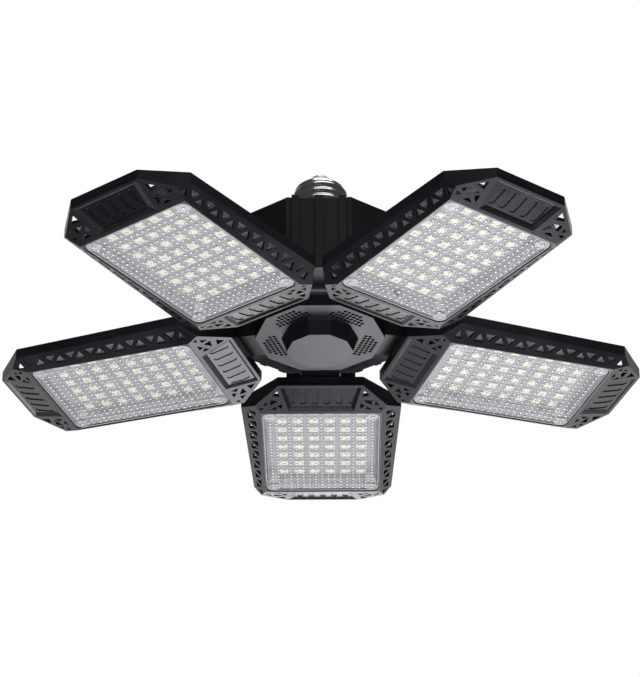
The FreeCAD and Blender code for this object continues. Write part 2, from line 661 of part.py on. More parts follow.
def make_friction_washers():
    washers = []
    start = ARM_WIDTH / 2 + WASHER_GAP
    for y in (start, -start - WASHER_THICKNESS):
        disc = Part.makeCylinder(WASHER_RADIUS, WASHER_THICKNESS, V(HINGE_R, y, HINGE_Z), V(0, 1, 0))
        hole = Part.makeCylinder(PIN_RADIUS + PIN_RUNNING_GAP, WASHER_THICKNESS,
                                 V(HINGE_R, y, HINGE_Z), V(0, 1, 0))
        washers.append(disc.cut(hole))
    return Part.makeCompound(washers)


def make_panel_lead():
    """Lead from the hinge axis, where it can twist, into the frame and to the LED board."""
    drop = HINGE_R + LEAD_DROP_AT
    board_edge = LENS_MID - BOARD_LENGTH / 2
    return lead([V(HINGE_R, LEAD_JOIN_GAP / 2, HINGE_Z), V(HINGE_R, LEAD_Y, HINGE_Z),
                 V(drop, LEAD_Y, HINGE_Z), V(drop, LEAD_Y, LEAD_Z),
                 V(board_edge + LEAD_OVERLAP, LEAD_Y, LEAD_Z)])


# ---- hub ------------------------------------------------------------------------------
def make_vent_cap():
    plate = hub_prism(CAP_APOTHEM, 0, CAP_THICKNESS)
    boss = hub_frustum(BOSS_FACE_APOTHEM, -BOSS_DROP, BOSS_BASE_APOTHEM, 0)
    hollow = hub_frustum(BOSS_FACE_APOTHEM - BOSS_WALL, BOSS_WALL - BOSS_DROP,
                         BOSS_BASE_APOTHEM - BOSS_WALL, CAP_THICKNESS)
    vents = []
    for angle in PANEL_ANGLES:
        for row, count in enumerate(VENT_ROWS):
            for i in range(count):
                hole = cylinder(VENT_RADIUS, -CUT_PAST, CAP_THICKNESS + CUT_PAST,
                                VENT_FIRST - row * VENT_PITCH, (i - (count - 1) / 2) * VENT_PITCH)
                vents.append(turned(hole, angle))
    return joined([plate, boss]).cut(Part.makeCompound([hollow] + vents))


def hinge_arm():
    """Arm from the hub's lower wall to the hinge barrel, drawn along +X."""
    half = ARM_WIDTH / 2
    root = CAP_APOTHEM - BASE_WALL / 2
    heel = CAP_APOTHEM + ARM_HEEL_GAP
    above_cap = CAP_THICKNESS + ARM_ABOVE_CAP
    top = HOUSING_BOTTOM + FLOOR_THICKNESS / 2
    side = [(root, above_cap), (heel, above_cap), (HINGE_R, ARM_TIP_Z),
            (HINGE_R, HINGE_Z + BARREL_RADIUS),
            (HINGE_R - 2 * BARREL_RADIUS, top), (root, top)]
    web = prism([V(x, -half, z) for x, z in side], V(0, ARM_WIDTH, 0))
    barrel = Part.makeCylinder(BARREL_RADIUS, ARM_WIDTH, V(HINGE_R, -half, HINGE_Z), V(0, 1, 0))
    return joined([web, barrel])


def arm_cuts():
    """Pin bore, the lead's channel through the arm, and the window where it leaves."""
    x, z = CHANNEL_TOP
    line = V(HINGE_R - x, 0, HINGE_Z - z)
    mouth = V(x, -LEAD_Y, z) + line * ((CHANNEL_MOUTH - x) / line.x)
    length = (V(HINGE_R, -LEAD_Y, HINGE_Z) - mouth).Length
    channel = Part.makeCylinder(LEAD_RADIUS + CHANNEL_GAP, length, mouth, line)
    half = LEAD_RADIUS + WINDOW_GAP
    window = box(HINGE_R, HINGE_R + BARREL_RADIUS + CUT_PAST, LEAD_Y - half, LEAD_Y + half,
                 HINGE_Z - WINDOW_DROP, HINGE_Z + BARREL_RADIUS + CUT_PAST)
    return [pin_bore(PIN_RADIUS + PIN_RUNNING_GAP, ARM_WIDTH), channel, window]


def cove():
    """Hollow-curved step from the lower wall out to the floor's underside."""
    steps = []
    for i in range(COVE_STEPS):
        low, high = (math.radians(90 * (i + k) / COVE_STEPS) for k in (0, 1))
        steps.append(hub_frustum(CAP_APOTHEM + COVE_RADIUS * (1 - math.cos(low)),
                                 HOUSING_BOTTOM - COVE_RADIUS * (1 - math.sin(low)),
                                 CAP_APOTHEM + COVE_RADIUS * (1 - math.cos(high)),
                                 HOUSING_BOTTOM - COVE_RADIUS * (1 - math.sin(high))))
    return steps


def driver_posts(radius, z0, z1):
    places = [(DRIVER_POST_AT * math.cos(math.radians(a)), DRIVER_POST_AT * math.sin(math.radians(a)))
              for a in DRIVER_POST_ANGLES]
    return [cylinder(radius, z0, z1, x, y) for x, y in places]


def make_hub_base():
    floor_top = HOUSING_BOTTOM + FLOOR_THICKNESS
    floor_apothem = HOUSING_APOTHEM - HOUSING_WALL - FLOOR_GAP
    walls = [hub_prism(CAP_APOTHEM, CAP_THICKNESS, floor_top),
             hub_prism(floor_apothem, HOUSING_BOTTOM, floor_top)] + cove()
    walls += [turned(hinge_arm(), angle) for angle in PANEL_ANGLES]
    hollow = hub_prism(CAP_APOTHEM - BASE_WALL, CAP_THICKNESS - CUT_PAST, floor_top + CUT_PAST)
    posts = driver_posts(DRIVER_POST_RADIUS, HOUSING_BOTTOM, DRIVER_Z)
    base = joined([joined(walls).cut(hollow)] + posts)
    cuts = driver_posts(SCREW_RADIUS + SCREW_HOLE_GAP, DRIVER_Z - SCREW_LENGTH, DRIVER_Z + CUT_PAST)
    for angle in PANEL_ANGLES:
        cuts += [turned(cut, angle) for cut in arm_cuts()]
    return base.cut(Part.makeCompound(cuts))


def face_strip(centre, width, proud, z0, z1):
    """Upright strip on a side wall that faces +X."""
    inside = HOUSING_APOTHEM - HOUSING_WALL / 2
    return box(inside, HOUSING_APOTHEM + proud, centre - width / 2, centre + width / 2, z0, z1)


def make_housing():
    solid = [hub_prism(HOUSING_APOTHEM, HOUSING_BOTTOM, HOUSING_TOP)]
    half_side = HOUSING_APOTHEM * math.tan(math.pi / SIDES)
    strips = [face_strip(i * PILASTER_SPACING, PILASTER_WIDTH, PILASTER_PROUD, HOUSING_BOTTOM,
                         HOUSING_TOP + PILASTER_RISE) for i in (-1, 0, 1)]
    strips += [face_strip(sign * (half_side - CORNER_STRIP_WIDTH / 2), CORNER_STRIP_WIDTH,
                          CORNER_STRIP_PROUD, HOUSING_BOTTOM, HOUSING_TOP) for sign in (-1, 1)]
    for angle in PANEL_ANGLES:
        solid += [turned(strip, angle + 180 / len(PANEL_ANGLES)) for strip in strips]
    inside = HOUSING_APOTHEM - HOUSING_WALL
    floor_top = HOUSING_BOTTOM + FLOOR_THICKNESS
    ledge_top = floor_top + LEDGE_HEIGHT
    hollow = joined([hub_prism(inside, HOUSING_BOTTOM - CUT_PAST, floor_top),
                     hub_prism(inside - LEDGE_WIDTH, floor_top, ledge_top),
                     hub_prism(inside, ledge_top, HOUSING_TOP - HOUSING_WALL)])
    low, high = HOUSING_TOP - HOUSING_WALL - CUT_PAST, HOUSING_TOP + CUT_PAST
    mouth = cylinder(NECK_FOOT_RADIUS - NECK_WALL, low, high)
    holes = [cylinder(SCREW_RADIUS + SCREW_HOLE_GAP, low, high, x, y)
             for x, y in neck_screw_places()]
    return joined(solid).cut(Part.makeCompound([hollow, mouth] + holes))


# ---- neck and screw base --------------------------------------------------------------
def neck_screw_places():
    angles = [math.radians(45 + 360 * i / NECK_SCREWS) for i in range(NECK_SCREWS)]
    return [(NECK_SCREW_RADIUS * math.cos(a), NECK_SCREW_RADIUS * math.sin(a)) for a in angles]


def make_neck():
    foot = HOUSING_TOP + NECK_FLANGE
    spigot_top = NECK_TOP + SPIGOT_HEIGHT
    outside = [(0, HOUSING_TOP), (NECK_FLANGE_RADIUS, HOUSING_TOP), (NECK_FLANGE_RADIUS, foot),
               (NECK_FOOT_RADIUS, foot), (NECK_TOP_RADIUS, NECK_CONE_TOP), (NECK_TOP_RADIUS, NECK_TOP),
               (SPIGOT_RADIUS, NECK_TOP), (SPIGOT_RADIUS, spigot_top), (0, spigot_top)]
    bore = SPIGOT_RADIUS - NECK_WALL
    below, above = HOUSING_TOP - CUT_PAST, spigot_top + CUT_PAST
    hollow = [(0, below), (NECK_FOOT_RADIUS - NECK_WALL, below),
              (NECK_FOOT_RADIUS - NECK_WALL, HOUSING_TOP), (bore, NECK_CONE_TOP - NECK_WALL),
              (bore, above), (0, above)]
    holes = [cylinder(SCREW_RADIUS + SCREW_HOLE_GAP, below, foot + CUT_PAST, x, y)
             for x, y in neck_screw_places()]
    return revolved(outside).cut(Part.makeCompound([revolved(hollow)] + holes))


def thread_form(z0, z1):
    """Rounded screw thread: a circle whose centre runs round a small helix."""
    count = round((z1 - z0) / THREAD_PITCH * THREAD_STEPS)
    rings = []
    for i in range(count + 1):
        z = z0 + (z1 - z0) * i / count
        turn = 2 * math.pi * z / THREAD_PITCH
        centre = V(THREAD_SWING * math.cos(turn), THREAD_SWING * math.sin(turn), z)
        rings.append(Part.Wire(Part.makeCircle(THREAD_MEAN_RADIUS, centre, UP)))
    return Part.makeLoft(rings, True, False)


def make_screw_shell():
    thread_bottom = NECK_TOP + SHELL_SKIRT
    thread_top = SHELL_TOP - SHELL_SHOULDER
    crest = THREAD_MEAN_RADIUS + THREAD_SWING
    skirt = cylinder(crest, NECK_TOP, thread_bottom + SHELL_OVERLAP)
    foot = thread_top - SHELL_OVERLAP
    bevel, upright, rounding = SHELL_SHOULDER_BEVEL
    shoulder = revolved([(0, foot), (SHELL_SHOULDER_RADIUS, foot),
                         (SHELL_SHOULDER_RADIUS, SHELL_TOP - upright),
                         (SHELL_SHOULDER_RADIUS - bevel, SHELL_TOP - rounding),
                         (SHELL_MOUTH + SHELL_RIM, SHELL_TOP), (0, SHELL_TOP)])
    bore = cylinder(SHELL_BORE, NECK_TOP - CUT_PAST, SHELL_TOP - SHELL_LIP)
    mouth = cylinder(SHELL_MOUTH, NECK_TOP - CUT_PAST, SHELL_TOP + CUT_PAST)
    return joined([skirt, thread_form(thread_bottom, thread_top), shoulder]).cut(joined([bore, mouth]))


def make_insulator():
    seat = SHELL_TOP - SHELL_LIP
    bore = SHELL_BORE - INSULATOR_GAP
    neck = SHELL_MOUTH - INSULATOR_GAP
    hole = CONTACT_STEM_RADIUS + INSULATOR_GAP
    return revolved([(hole, seat - INSULATOR_SEAT), (bore, seat - INSULATOR_SEAT), (bore, seat),
                     (neck, seat), (neck, SHELL_TOP + INSULATOR_GAP),
                     (INSULATOR_TOP_RADIUS, INSULATOR_CONE_TOP), (hole, INSULATOR_CONE_TOP)])


def make_centre_contact():
    foot = SHELL_TOP - SHELL_LIP - INSULATOR_SEAT
    bevel, drop = CONTACT_BEVEL
    return revolved([(0, foot), (CONTACT_STEM_RADIUS, foot), (CONTACT_STEM_RADIUS, INSULATOR_CONE_TOP),
                     (CONTACT_RADIUS, INSULATOR_CONE_TOP),
                     (CONTACT_RADIUS, INSULATOR_CONE_TOP + CONTACT_EDGE),
                     (CONTACT_RADIUS - bevel, CONTACT_TOP - drop),
                     (CONTACT_FLAT_RADIUS, CONTACT_TOP), (0, CONTACT_TOP)])


def make_neck_screws():
    seat = HOUSING_TOP + NECK_FLANGE
    return Part.makeCompound([slotted_screw(x, y, seat, SCREW_LENGTH) for x, y in neck_screw_places()])


# ---- driver and leads -----------------------------------------------------------------
def make_driver_board():
    top = DRIVER_Z + DRIVER_THICKNESS
    board = cylinder(DRIVER_RADIUS, DRIVER_Z, top)
    holes = driver_posts(SCREW_RADIUS + SCREW_HOLE_GAP, DRIVER_Z - CUT_PAST, top + CUT_PAST)
    return board.cut(Part.makeCompound(holes))


def standing_block(size, place):
    length, width, height = size
    x, y = place
    z = DRIVER_Z + DRIVER_THICKNESS
    return box(x - length / 2, x + length / 2, y - width / 2, y + width / 2, z, z + height)


def make_driver_transformer():
    block = standing_block(TRANSFORMER_SIZE, TRANSFORMER_AT)
    upright = [e for e in block.Edges if e.BoundBox.ZLength > 1]
    return block.makeFillet(TRANSFORMER_CORNER, upright)


def make_driver_capacitors():
    z = DRIVER_Z + DRIVER_THICKNESS
    return Part.makeCompound([cylinder(CAPACITOR_RADIUS, z, z + CAPACITOR_HEIGHT, x, y)
                              for x, y in CAPACITOR_PLACES])


def make_driver_chips():
    return Part.makeCompound([standing_block(size, place)
                              for size, place in zip(DRIVER_CHIP_SIZES, DRIVER_CHIP_PLACES)])


def make_driver_screws():
    screws = []
    for angle in DRIVER_POST_ANGLES:
        a = math.radians(angle)
        screws.append(slotted_screw(DRIVER_POST_AT * math.cos(a), DRIVER_POST_AT * math.sin(a),
                                    DRIVER_Z + DRIVER_THICKNESS, SCREW_LENGTH))
    return Part.makeCompound(screws)


def make_hub_leads():
    """Five leads from under the driver through the arms to the hinge axes."""
    x, z = CHANNEL_TOP
    one = lead([V(x, -LEAD_Y, DRIVER_Z - LEAD_CLEARANCE), V(x, -LEAD_Y, z),
                V(HINGE_R, -LEAD_Y, HINGE_Z), V(HINGE_R, -LEAD_JOIN_GAP / 2, HINGE_Z)])
    return Part.makeCompound([turned(one, angle) for angle in PANEL_ANGLES])


def make_mains_leads():
    """Two leads from the driver up to the screw shell and the centre contact."""
    start = DRIVER_Z + DRIVER_THICKNESS
    contact_foot = SHELL_TOP - SHELL_LIP - INSULATOR_SEAT
    straight = CONTACT_LEAD_STRAIGHT
    to_contact = lead([V(0, 0, start), V(0, 0, start + straight),
                       V(CONTACT_LEAD_BOW, 0, start + 2 * straight),
                       V(0, 0, contact_foot - straight), V(0, 0, contact_foot)])
    x, y = SHELL_LEAD_START
    bore_x = SPIGOT_RADIUS - NECK_WALL - SHELL_LEAD_INSET
    spigot_top = NECK_TOP + SPIGOT_HEIGHT
    last_bend, end = SHELL_LEAD_EXIT
    to_shell = lead([V(x, y, start), V(x, y, start + SHELL_LEAD_RISE), V(bore_x, 0, SHELL_LEAD_TURN_Z),
                     V(bore_x, 0, spigot_top + last_bend),
                     V(SHELL_BORE - LEAD_RADIUS - LEAD_CLEARANCE, 0, spigot_top + end)])
    return Part.makeCompound([to_contact, to_shell])


PANEL_PIECES = (("frame", make_panel_frame), ("lens", make_lens), ("led_board", make_led_board),
                ("led_chips", make_led_chips), ("heat_sink", make_heat_sink),
                ("screws", make_panel_screws), ("hinge_pin", make_hinge_pins),
                ("friction_washers", make_friction_washers), ("lead", make_panel_lead))
HUB_PIECES = (("vent_cap", make_vent_cap), ("hub_base", make_hub_base), ("housing", make_housing),
              ("neck", make_neck), ("neck_screws", make_neck_screws),
              ("screw_shell", make_screw_shell), ("base_insulator", make_insulator),
              ("centre_contact", make_centre_contact), ("driver_board", make_driver_board),
              ("driver_transformer", make_driver_transformer),
              ("driver_capacitors", make_driver_capacitors), ("driver_chips", make_driver_chips),
              ("driver_screws", make_driver_screws), ("hub_leads", make_hub_leads),
              ("mains_leads", make_mains_leads))


def write(piece, name):
    piece.translate(V(0, 0, -NECK_TOP))
    piece.exportStep("parts/%s.step" % name)


def main():
    os.makedirs("parts", exist_ok=True)
    for name, make in HUB_PIECES:
        write(make(), name)
    for name, make in PANEL_PIECES:
        piece = make()
        for number, angle in enumerate(PANEL_ANGLES, 1):
            write(turned(piece, angle), "panel_%d_%s" % (number, name))


main()
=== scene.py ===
"""Looks of the deformable garage light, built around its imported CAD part.

Metres throughout, in the part's own frame: +Z up along the screw base, the five panels
spread round it. Along a panel, "along" is the distance from the lamp's axis and "across"
runs sideways.
"""
import math

import bpy
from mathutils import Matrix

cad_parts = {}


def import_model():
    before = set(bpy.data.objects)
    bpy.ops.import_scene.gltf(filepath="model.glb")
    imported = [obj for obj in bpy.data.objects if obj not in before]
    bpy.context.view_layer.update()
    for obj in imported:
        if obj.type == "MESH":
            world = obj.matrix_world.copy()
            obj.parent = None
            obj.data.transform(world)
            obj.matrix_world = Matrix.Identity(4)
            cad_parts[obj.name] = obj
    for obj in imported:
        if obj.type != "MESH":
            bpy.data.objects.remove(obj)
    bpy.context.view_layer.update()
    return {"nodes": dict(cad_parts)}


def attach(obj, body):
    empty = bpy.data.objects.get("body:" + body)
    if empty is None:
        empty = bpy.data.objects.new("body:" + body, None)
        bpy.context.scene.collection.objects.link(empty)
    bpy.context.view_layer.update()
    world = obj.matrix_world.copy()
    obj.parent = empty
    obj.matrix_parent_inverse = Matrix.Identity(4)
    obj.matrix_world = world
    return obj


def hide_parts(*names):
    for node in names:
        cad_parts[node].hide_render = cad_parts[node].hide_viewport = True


MM = 0.001

# ---- the lamp's own measures, as the part gives them -----------------------------------
PANEL_ANGLES = (90, 162, 234, 306, 18)
LENS_LENGTH = 78.2 * MM
LENS_WIDTH = 56.2 * MM
LENS_CORNER = 3.5 * MM
LENS_WALL = 1.1 * MM            # side walls of the clear tray
LENS_PLATE = 1.4 * MM
LENS_MIDDLE = 93.5 * MM         # distance of a lens's middle from the lamp's axis
LENS_FACE = -72.5 * MM
BOARD_FACE = -66.0 * MM
FRAME_FACE = -72.9 * MM         # rim of a panel frame
RIM_HALF = 39.95 * MM           # middle of a lens to where the end slopes begin
INNER_SLOPE = 5.1 / 17.75
OUTER_SLOPE = 5.1 / 18.55
RECESS_REACH = 18.2 * MM        # the end recesses lie within this of the centre line
LED_ROWS = 8
LED_COLUMNS = 6
LED_ROW_PITCH = 8.5 * MM
LED_COLUMN_PITCH = 7.75 * MM
POST_INSET = 3.6 * MM
POST_RADIUS = 2.9 * MM

# ---- detail that only the looks carry --------------------------------------------------
DOT_PITCH = 3.1 * MM
DOT_RADIUS = 0.85 * MM
DOT_HEIGHT = 0.4 * MM
DOT_ROWS = 24
DOT_COLUMNS = 17
DOT_FOOT = 0.05 * MM            # how far a dot's foot reaches into the lens
DOT_SIDES = 8
DOT_RINGS = 6
PACKAGE_WIDTH = 4.0 * MM
PACKAGE_LENGTH = 4.0 * MM
PACKAGE_HEIGHT = 0.6 * MM
CUP_SHARE = 0.8                 # a light's cup, of its body
CUP_DEPTH = 0.12 * MM
FACES_UP = 0.9                  # a face whose normal's Z is above this is the top of a body
TERMINAL_SIZE = (1.1 * MM, 0.7 * MM, 0.16 * MM)
TERMINAL_ALONG = 0.85 * MM
TERMINAL_LIFT = 0.09 * MM
TAB_PLACES = (-19.7 * MM, 26.3 * MM)    # along the lens, from its middle
TAB_ACROSS = 24.6 * MM
TAB_SIZE = (5.2 * MM, 0.5 * MM, 3.2 * MM)
# radius of the pale bead round the lens face, which is a painted highlight
HIGHLIGHT_BEAD = 0.2 * MM
BEAD_SIDES = 8
CORNER_STEPS = 6
RIB_PITCH = 1.15 * MM
RIB_SIZE = (0.45 * MM, 0.5 * MM)

# ---- finishes --------------------------------------------------------------------------
PANEL_BLACK = (0.0056, 0.0054, 0.0078, 1.0)
HUB_BLACK = (0.0048, 0.0046, 0.0066, 1.0)
# painted shade: the floors of the end recesses are painted darker than the frame
RECESS_SHADE_BLACK = (0.0034, 0.0034, 0.0060, 1.0)
BLACK_SHEEN = (0.92, 0.905, 1.0, 1.0)
EDGE_ROUNDING = 0.3 * MM
ROUNDING_SAMPLES = 4
LENS_TINT = (0.80, 0.81, 0.84, 1.0)
POST_TINT = (0.95, 0.95, 0.97, 1.0)
WALL_TINT = (0.80, 0.80, 0.83, 1.0)
LENS_ALPHA = 0.06
WALL_ALPHA = 0.86
POST_ALPHA = 0.8
POST_FACE = 0.4                 # share of a post's frosting that its lens face shows
# the dots' colours are painted light: a painted highlight on top and a ring of painted shade round it
DOT_PAINTED_HIGHLIGHT = (0.93, 0.94, 0.96, 1.0)
DOT_PAINTED_SHADE = (0.16, 0.16, 0.18, 1.0)
BOARD_SILVER = (0.42, 0.42, 0.45, 1.0)
BOARD_LANE = (0.36, 0.36, 0.39, 1.0)
PHOSPHOR = (0.97, 0.98, 0.78, 1.0)
SINK_METAL = (0.55, 0.55, 0.57, 1.0)
SINK_STAIN = (0.42, 0.42, 0.44, 1.0)

SATIN = 0.36                    # roughness of the panels' and the cap's black
GRAIN_SIZE = 0.4 * MM
GRAIN_DEPTH = 0.02 * MM
GRAIN_TONE = 0.2                # share by which the tone drifts
FINE_GRAIN = 0.3 * MM
SHEATH_GRAIN = 0.8 * MM
PHOSPHOR_GRAIN = 0.2 * MM
EVEN_TONE = 0.03
NOISE_SPAN = (0.3, 0.7)         # where a noise's values mostly lie
FLOW_SPAN = (0.35, 0.65)
FLOW_SCALE = 38.0
SPECK = 0.12                    # share by which the grain shifts the tone
DRIFT_SHEEN = 0.04              # *_SHEEN: roughness, or what is added to it
GRAIN_SHEEN = 0.03

RING_DEPTH = 0.01 * MM
RING_PITCH = 0.2 * MM
TARNISH_SCALE = 160.0
TARNISH_SPAN = (0.5, 0.75)
TARNISH_SHARE = 0.55
TARNISH_SHEEN = 0.2
RING_SHEEN = 0.08

RECESS_START = (1.0 * MM, 1.4 * MM)     # past the end of the rim's flat
RECESS_EDGE = 0.3 * MM
RECESS_FLOOR = (0.75 * MM, 1.7 * MM)    # depths that count as a recess's floor
RECESS_SOFT = 0.2 * MM
RECESS_SHEEN = -0.1

PLATE_SKIN = 0.9                # share of the lens plate that still counts as its face
POST_EDGE = (0.1 * MM, 0.3 * MM)
WALL_EDGE = 0.1 * MM
LENS_SHEEN = (0.08, 0.14)
FROST_SHEEN = 0.3
HAZE_SCALE = 60.0
HAZE_ALPHA = 0.02
DOT_SHEEN = 0.12
DOT_TURN = (0.21 * MM, 0.32 * MM)       # height over which a dot's ring of painted shade turns into the painted highlight on its top
DOT_ALPHA = (0.5, 0.92)

LANE_HALF = (0.03, 0.05)        # shares of the pitch of the lights, from a row's or column's middle
LANE_END = (0.41, 0.43)
LANE_STEP = 0.02 * MM
BOARD_SHEEN = 0.45
DIE_SCALE = (12.0, 2600.0, 2600.0)      # along, across, height
DIE_SHEEN = (0.34, 0.5)
STAIN_SCALE = 70.0
STAIN_SPAN = (0.4, 0.75)
STAIN_SHARE = 0.6

# ---- camera ----------------------------------------------------------------------------
CAMERA_AIM = (0.0, 0.0, -63.6 * MM)
CAMERA_DISTANCE = 1107.91 * MM
CAMERA_RISE = math.radians(31.52)       # it looks up at the lamp by this angle
CAMERA_YAW = math.radians(0.56)
CAMERA_LENS = 135.1             # millimetres, on a sensor of 36

# ---- surroundings ----------------------------------------------------------------------
WORLD_LIGHT = 0.34
WHITE = (1.0, 1.0, 1.0, 1.0)
ROOM_DARK = 0.06                # what gloss mirrors of the room's near side
ROOM_DARK_AT = 0.36
ROOM_WHITE_AT = 0.62
ROOM_NARROWING = 0.35           # how much sooner the white far side ends towards the corners
FLOOR_Z = -1.3
FLOOR_REACH = 8.0
FLOOR_TONES = ((0.36, 0.36, 0.36, 1.0), (0.40, 0.40, 0.40, 1.0))
FLOOR_CLOUD_SCALE = 1.5
FLOOR_GLOW = 0.55               # lifts the floor to a pale tone that still shows the shadow
FLOOR_DARK = 0.05               # what gloss mirrors of the floor, near and far
FLOOR_PALE = 0.85
FLOOR_DARK_AT = 0.45            # metres towards the far side
FLOOR_PALE_AT = 0.95
FLOOR_NARROWING = 0.7
# name, place, width across, watts
LAMPS = (("key_light", (0.28, 0.93, -0.92), 0.8, 7.2),
         ("front_light", (0.0, -0.65, -1.17), 1.3, 18.5),
         ("back_light", (0.0, 1.4, -0.09), 0.5, 1.3),
         ("top_light", (0.2, -0.4, 1.3), 1.2, 9.0))


# ---- node helpers ----------------------------------------------------------------------
def add(tree, kind, inputs=(), **settings):
    """A node of that kind. inputs are (socket, value or output to link) pairs."""
    node = tree.nodes.new(kind)
    for name, value in settings.items():
        setattr(node, name, value)
    for socket, value in inputs:
        if isinstance(value, bpy.types.NodeSocket):
            tree.links.new(value, node.inputs[socket])
        else:
            node.inputs[socket].default_value = value
    return node


def math_node(tree, operation, first, second=0.0, third=0.0):
    """Result of that operation on two or three values."""
    return add(tree, "ShaderNodeMath", [(0, first), (1, second), (2, third)],
               operation=operation).outputs[0]


def blended(tree, share, first, second):
    """Colour between first and second by share."""
    return add(tree, "ShaderNodeMix", [("Factor", share), (6, first), (7, second)],
               data_type="RGBA").outputs[2]


def ramp(tree, value, low, high, to_low=0.0, to_high=1.0):
    """value taken from low..high to to_low..to_high, and held at the ends."""
    return add(tree, "ShaderNodeMapRange", [("Value", value), ("From Min", low), ("From Max", high),
                                            ("To Min", to_low), ("To Max", to_high)]).outputs[0]


def grey(level, blue=1.0):
    """Neutral tone; blue below 1 warms it."""
    return (level, level, level * blue, 1.0)


def new_group(name, inputs, outputs):
    """Empty shader node group with those sockets; gives the group and its two end nodes."""
    group = bpy.data.node_groups.new(name, "ShaderNodeTree")
    for label, kind, value in inputs:
        socket = group.interface.new_socket(label, in_out="INPUT", socket_type=kind)
        socket.default_value = value
    for label, kind in outputs:
        group.interface.new_socket(label, in_out="OUTPUT", socket_type=kind)
    return group, group.nodes.new("NodeGroupInput"), group.nodes.new("NodeGroupOutput")


def moulding_grain_group():
    """Fine spark-eroded grain of a moulding, with slow shifts in tone and sheen."""
    group, given, result = new_group(
        "moulding grain",
        [("Color", "NodeSocketColor", PANEL_BLACK), ("Grain Size", "NodeSocketFloat", GRAIN_SIZE),
         ("Roughness", "NodeSocketFloat", SATIN), ("Tone Shift", "NodeSocketFloat", GRAIN_TONE)],
        [("Color", "NodeSocketColor"), ("Roughness", "NodeSocketFloat"),
         ("Height", "NodeSocketFloat")])
    place = add(group, "ShaderNodeTexCoord").outputs["Object"]
    scale = math_node(group, "DIVIDE", 1.0, given.outputs["Grain Size"])
    grain = add(group, "ShaderNodeTexNoise", [("Vector", place), ("Scale", scale), ("Detail", 2.0),
                                              ("Roughness", 0.6)]).outputs["Fac"]
    flow = add(group, "ShaderNodeTexNoise", [("Vector", place), ("Scale", FLOW_SCALE), ("Detail", 3.0),
                                             ("Distortion", 0.6)]).outputs["Fac"]
    drift = ramp(group, flow, *FLOW_SPAN, -1.0, 1.0)
    swing = math_node(group, "MULTIPLY", drift, given.outputs["Tone Shift"])
    level = math_node(group, "ADD", swing, 1.0)
    speck = ramp(group, grain, *NOISE_SPAN, 1.0 - SPECK, 1.0 + SPECK)
    tint = math_node(group, "MULTIPLY", level, speck)
    shade = add(group, "ShaderNodeVectorMath", [(0, given.outputs["Color"]), ("Scale", tint)],
                operation="SCALE").outputs[0]
    sheen = math_node(group, "MULTIPLY_ADD", drift, DRIFT_SHEEN, given.outputs["Roughness"])
    swell = ramp(group, grain, *NOISE_SPAN, -1.0, 1.0)
    rough = math_node(group, "MULTIPLY_ADD", swell, GRAIN_SHEEN, sheen)
    group.links.new(shade, result.inputs["Color"])
    group.links.new(rough, result.inputs["Roughness"])
    group.links.new(grain, result.inputs["Height"])
    return group


def panel_place_group():
    """Place on a panel: along it from the lamp's axis, across it, and height."""
    group, given, result = new_group(
        "panel place", [("Angle", "NodeSocketFloat", 0.0)],
        [("Along", "NodeSocketFloat"), ("Across", "NodeSocketFloat"), ("Height", "NodeSocketFloat")])
    place = add(group, "ShaderNodeTexCoord").outputs["Object"]
    back = math_node(group, "MULTIPLY", given.outputs["Angle"], -1.0)
    turned = add(group, "ShaderNodeVectorRotate", [("Vector", place), ("Angle", back)],
                 rotation_type="Z_AXIS").outputs[0]
    split = add(group, "ShaderNodeSeparateXYZ", [(0, turned)])
    for i, label in enumerate(("Along", "Across", "Height")):
        group.links.new(split.outputs[i], result.inputs[label])
    return group


def drawn_metal_group():
    """Turned or plated metal: fine rings round the lamp's axis, a soft tarnish in patches."""
    group, given, result = new_group(
        "drawn metal",
        [("Color", "NodeSocketColor", grey(0.6)), ("Tarnish", "NodeSocketColor", grey(0.3)),
         ("Roughness", "NodeSocketFloat", 0.25), ("Ring Pitch", "NodeSocketFloat", RING_PITCH)],
        [("Color", "NodeSocketColor"), ("Roughness", "NodeSocketFloat"),
         ("Height", "NodeSocketFloat")])
    place = add(group, "ShaderNodeTexCoord").outputs["Object"]
    height = add(group, "ShaderNodeSeparateXYZ", [(0, place)]).outputs["Z"]
    count = math_node(group, "DIVIDE", height, given.outputs["Ring Pitch"])
    rings = add(group, "ShaderNodeTexNoise", [("W", count), ("Scale", 1.0), ("Detail", 2.0)],
                noise_dimensions="1D").outputs["Fac"]
    patch = add(group, "ShaderNodeTexNoise", [("Vector", place), ("Scale", TARNISH_SCALE),
                                              ("Detail", 4.0)]).outputs["Fac"]
    share = ramp(group, patch, *TARNISH_SPAN, 0.0, TARNISH_SHARE)
    group.links.new(blended(group, share, given.outputs["Color"], given.outputs["Tarnish"]),
                    result.inputs["Color"])
    worn = math_node(group, "MULTIPLY_ADD", share, TARNISH_SHEEN, given.outputs["Roughness"])
    rough = math_node(group, "MULTIPLY_ADD", rings, RING_SHEEN, worn)
    group.links.new(rough, result.inputs["Roughness"])
    group.links.new(rings, result.inputs["Height"])
    return group


def new_material(name, **sockets):
    """Material with its Principled shader; sockets are constants set on the shader itself."""
    material = bpy.data.materials.new(name)
    material.use_nodes = True
    shader = material.node_tree.nodes["Principled BSDF"]
    for label, value in sockets.items():
        shader.inputs[label.replace("_", " ")].default_value = value
    return material, material.node_tree, shader


def bump(tree, shader, height, distance, rounding=0.0):
    """Surface relief; rounding softens the edges of the solid underneath."""
    node = add(tree, "ShaderNodeBump", [("Height", height), ("Distance", distance)])
    if rounding:
        soft = add(tree, "ShaderNodeBevel", [("Radius", rounding)], samples=ROUNDING_SAMPLES)
        tree.links.new(soft.outputs[0], node.inputs["Normal"])
    tree.links.new(node.outputs[0], shader.inputs["Normal"])


def grouped(tree, group, inputs):
    """A shader node group placed with its own values."""
    return add(tree, "ShaderNodeGroup", inputs, node_tree=group)


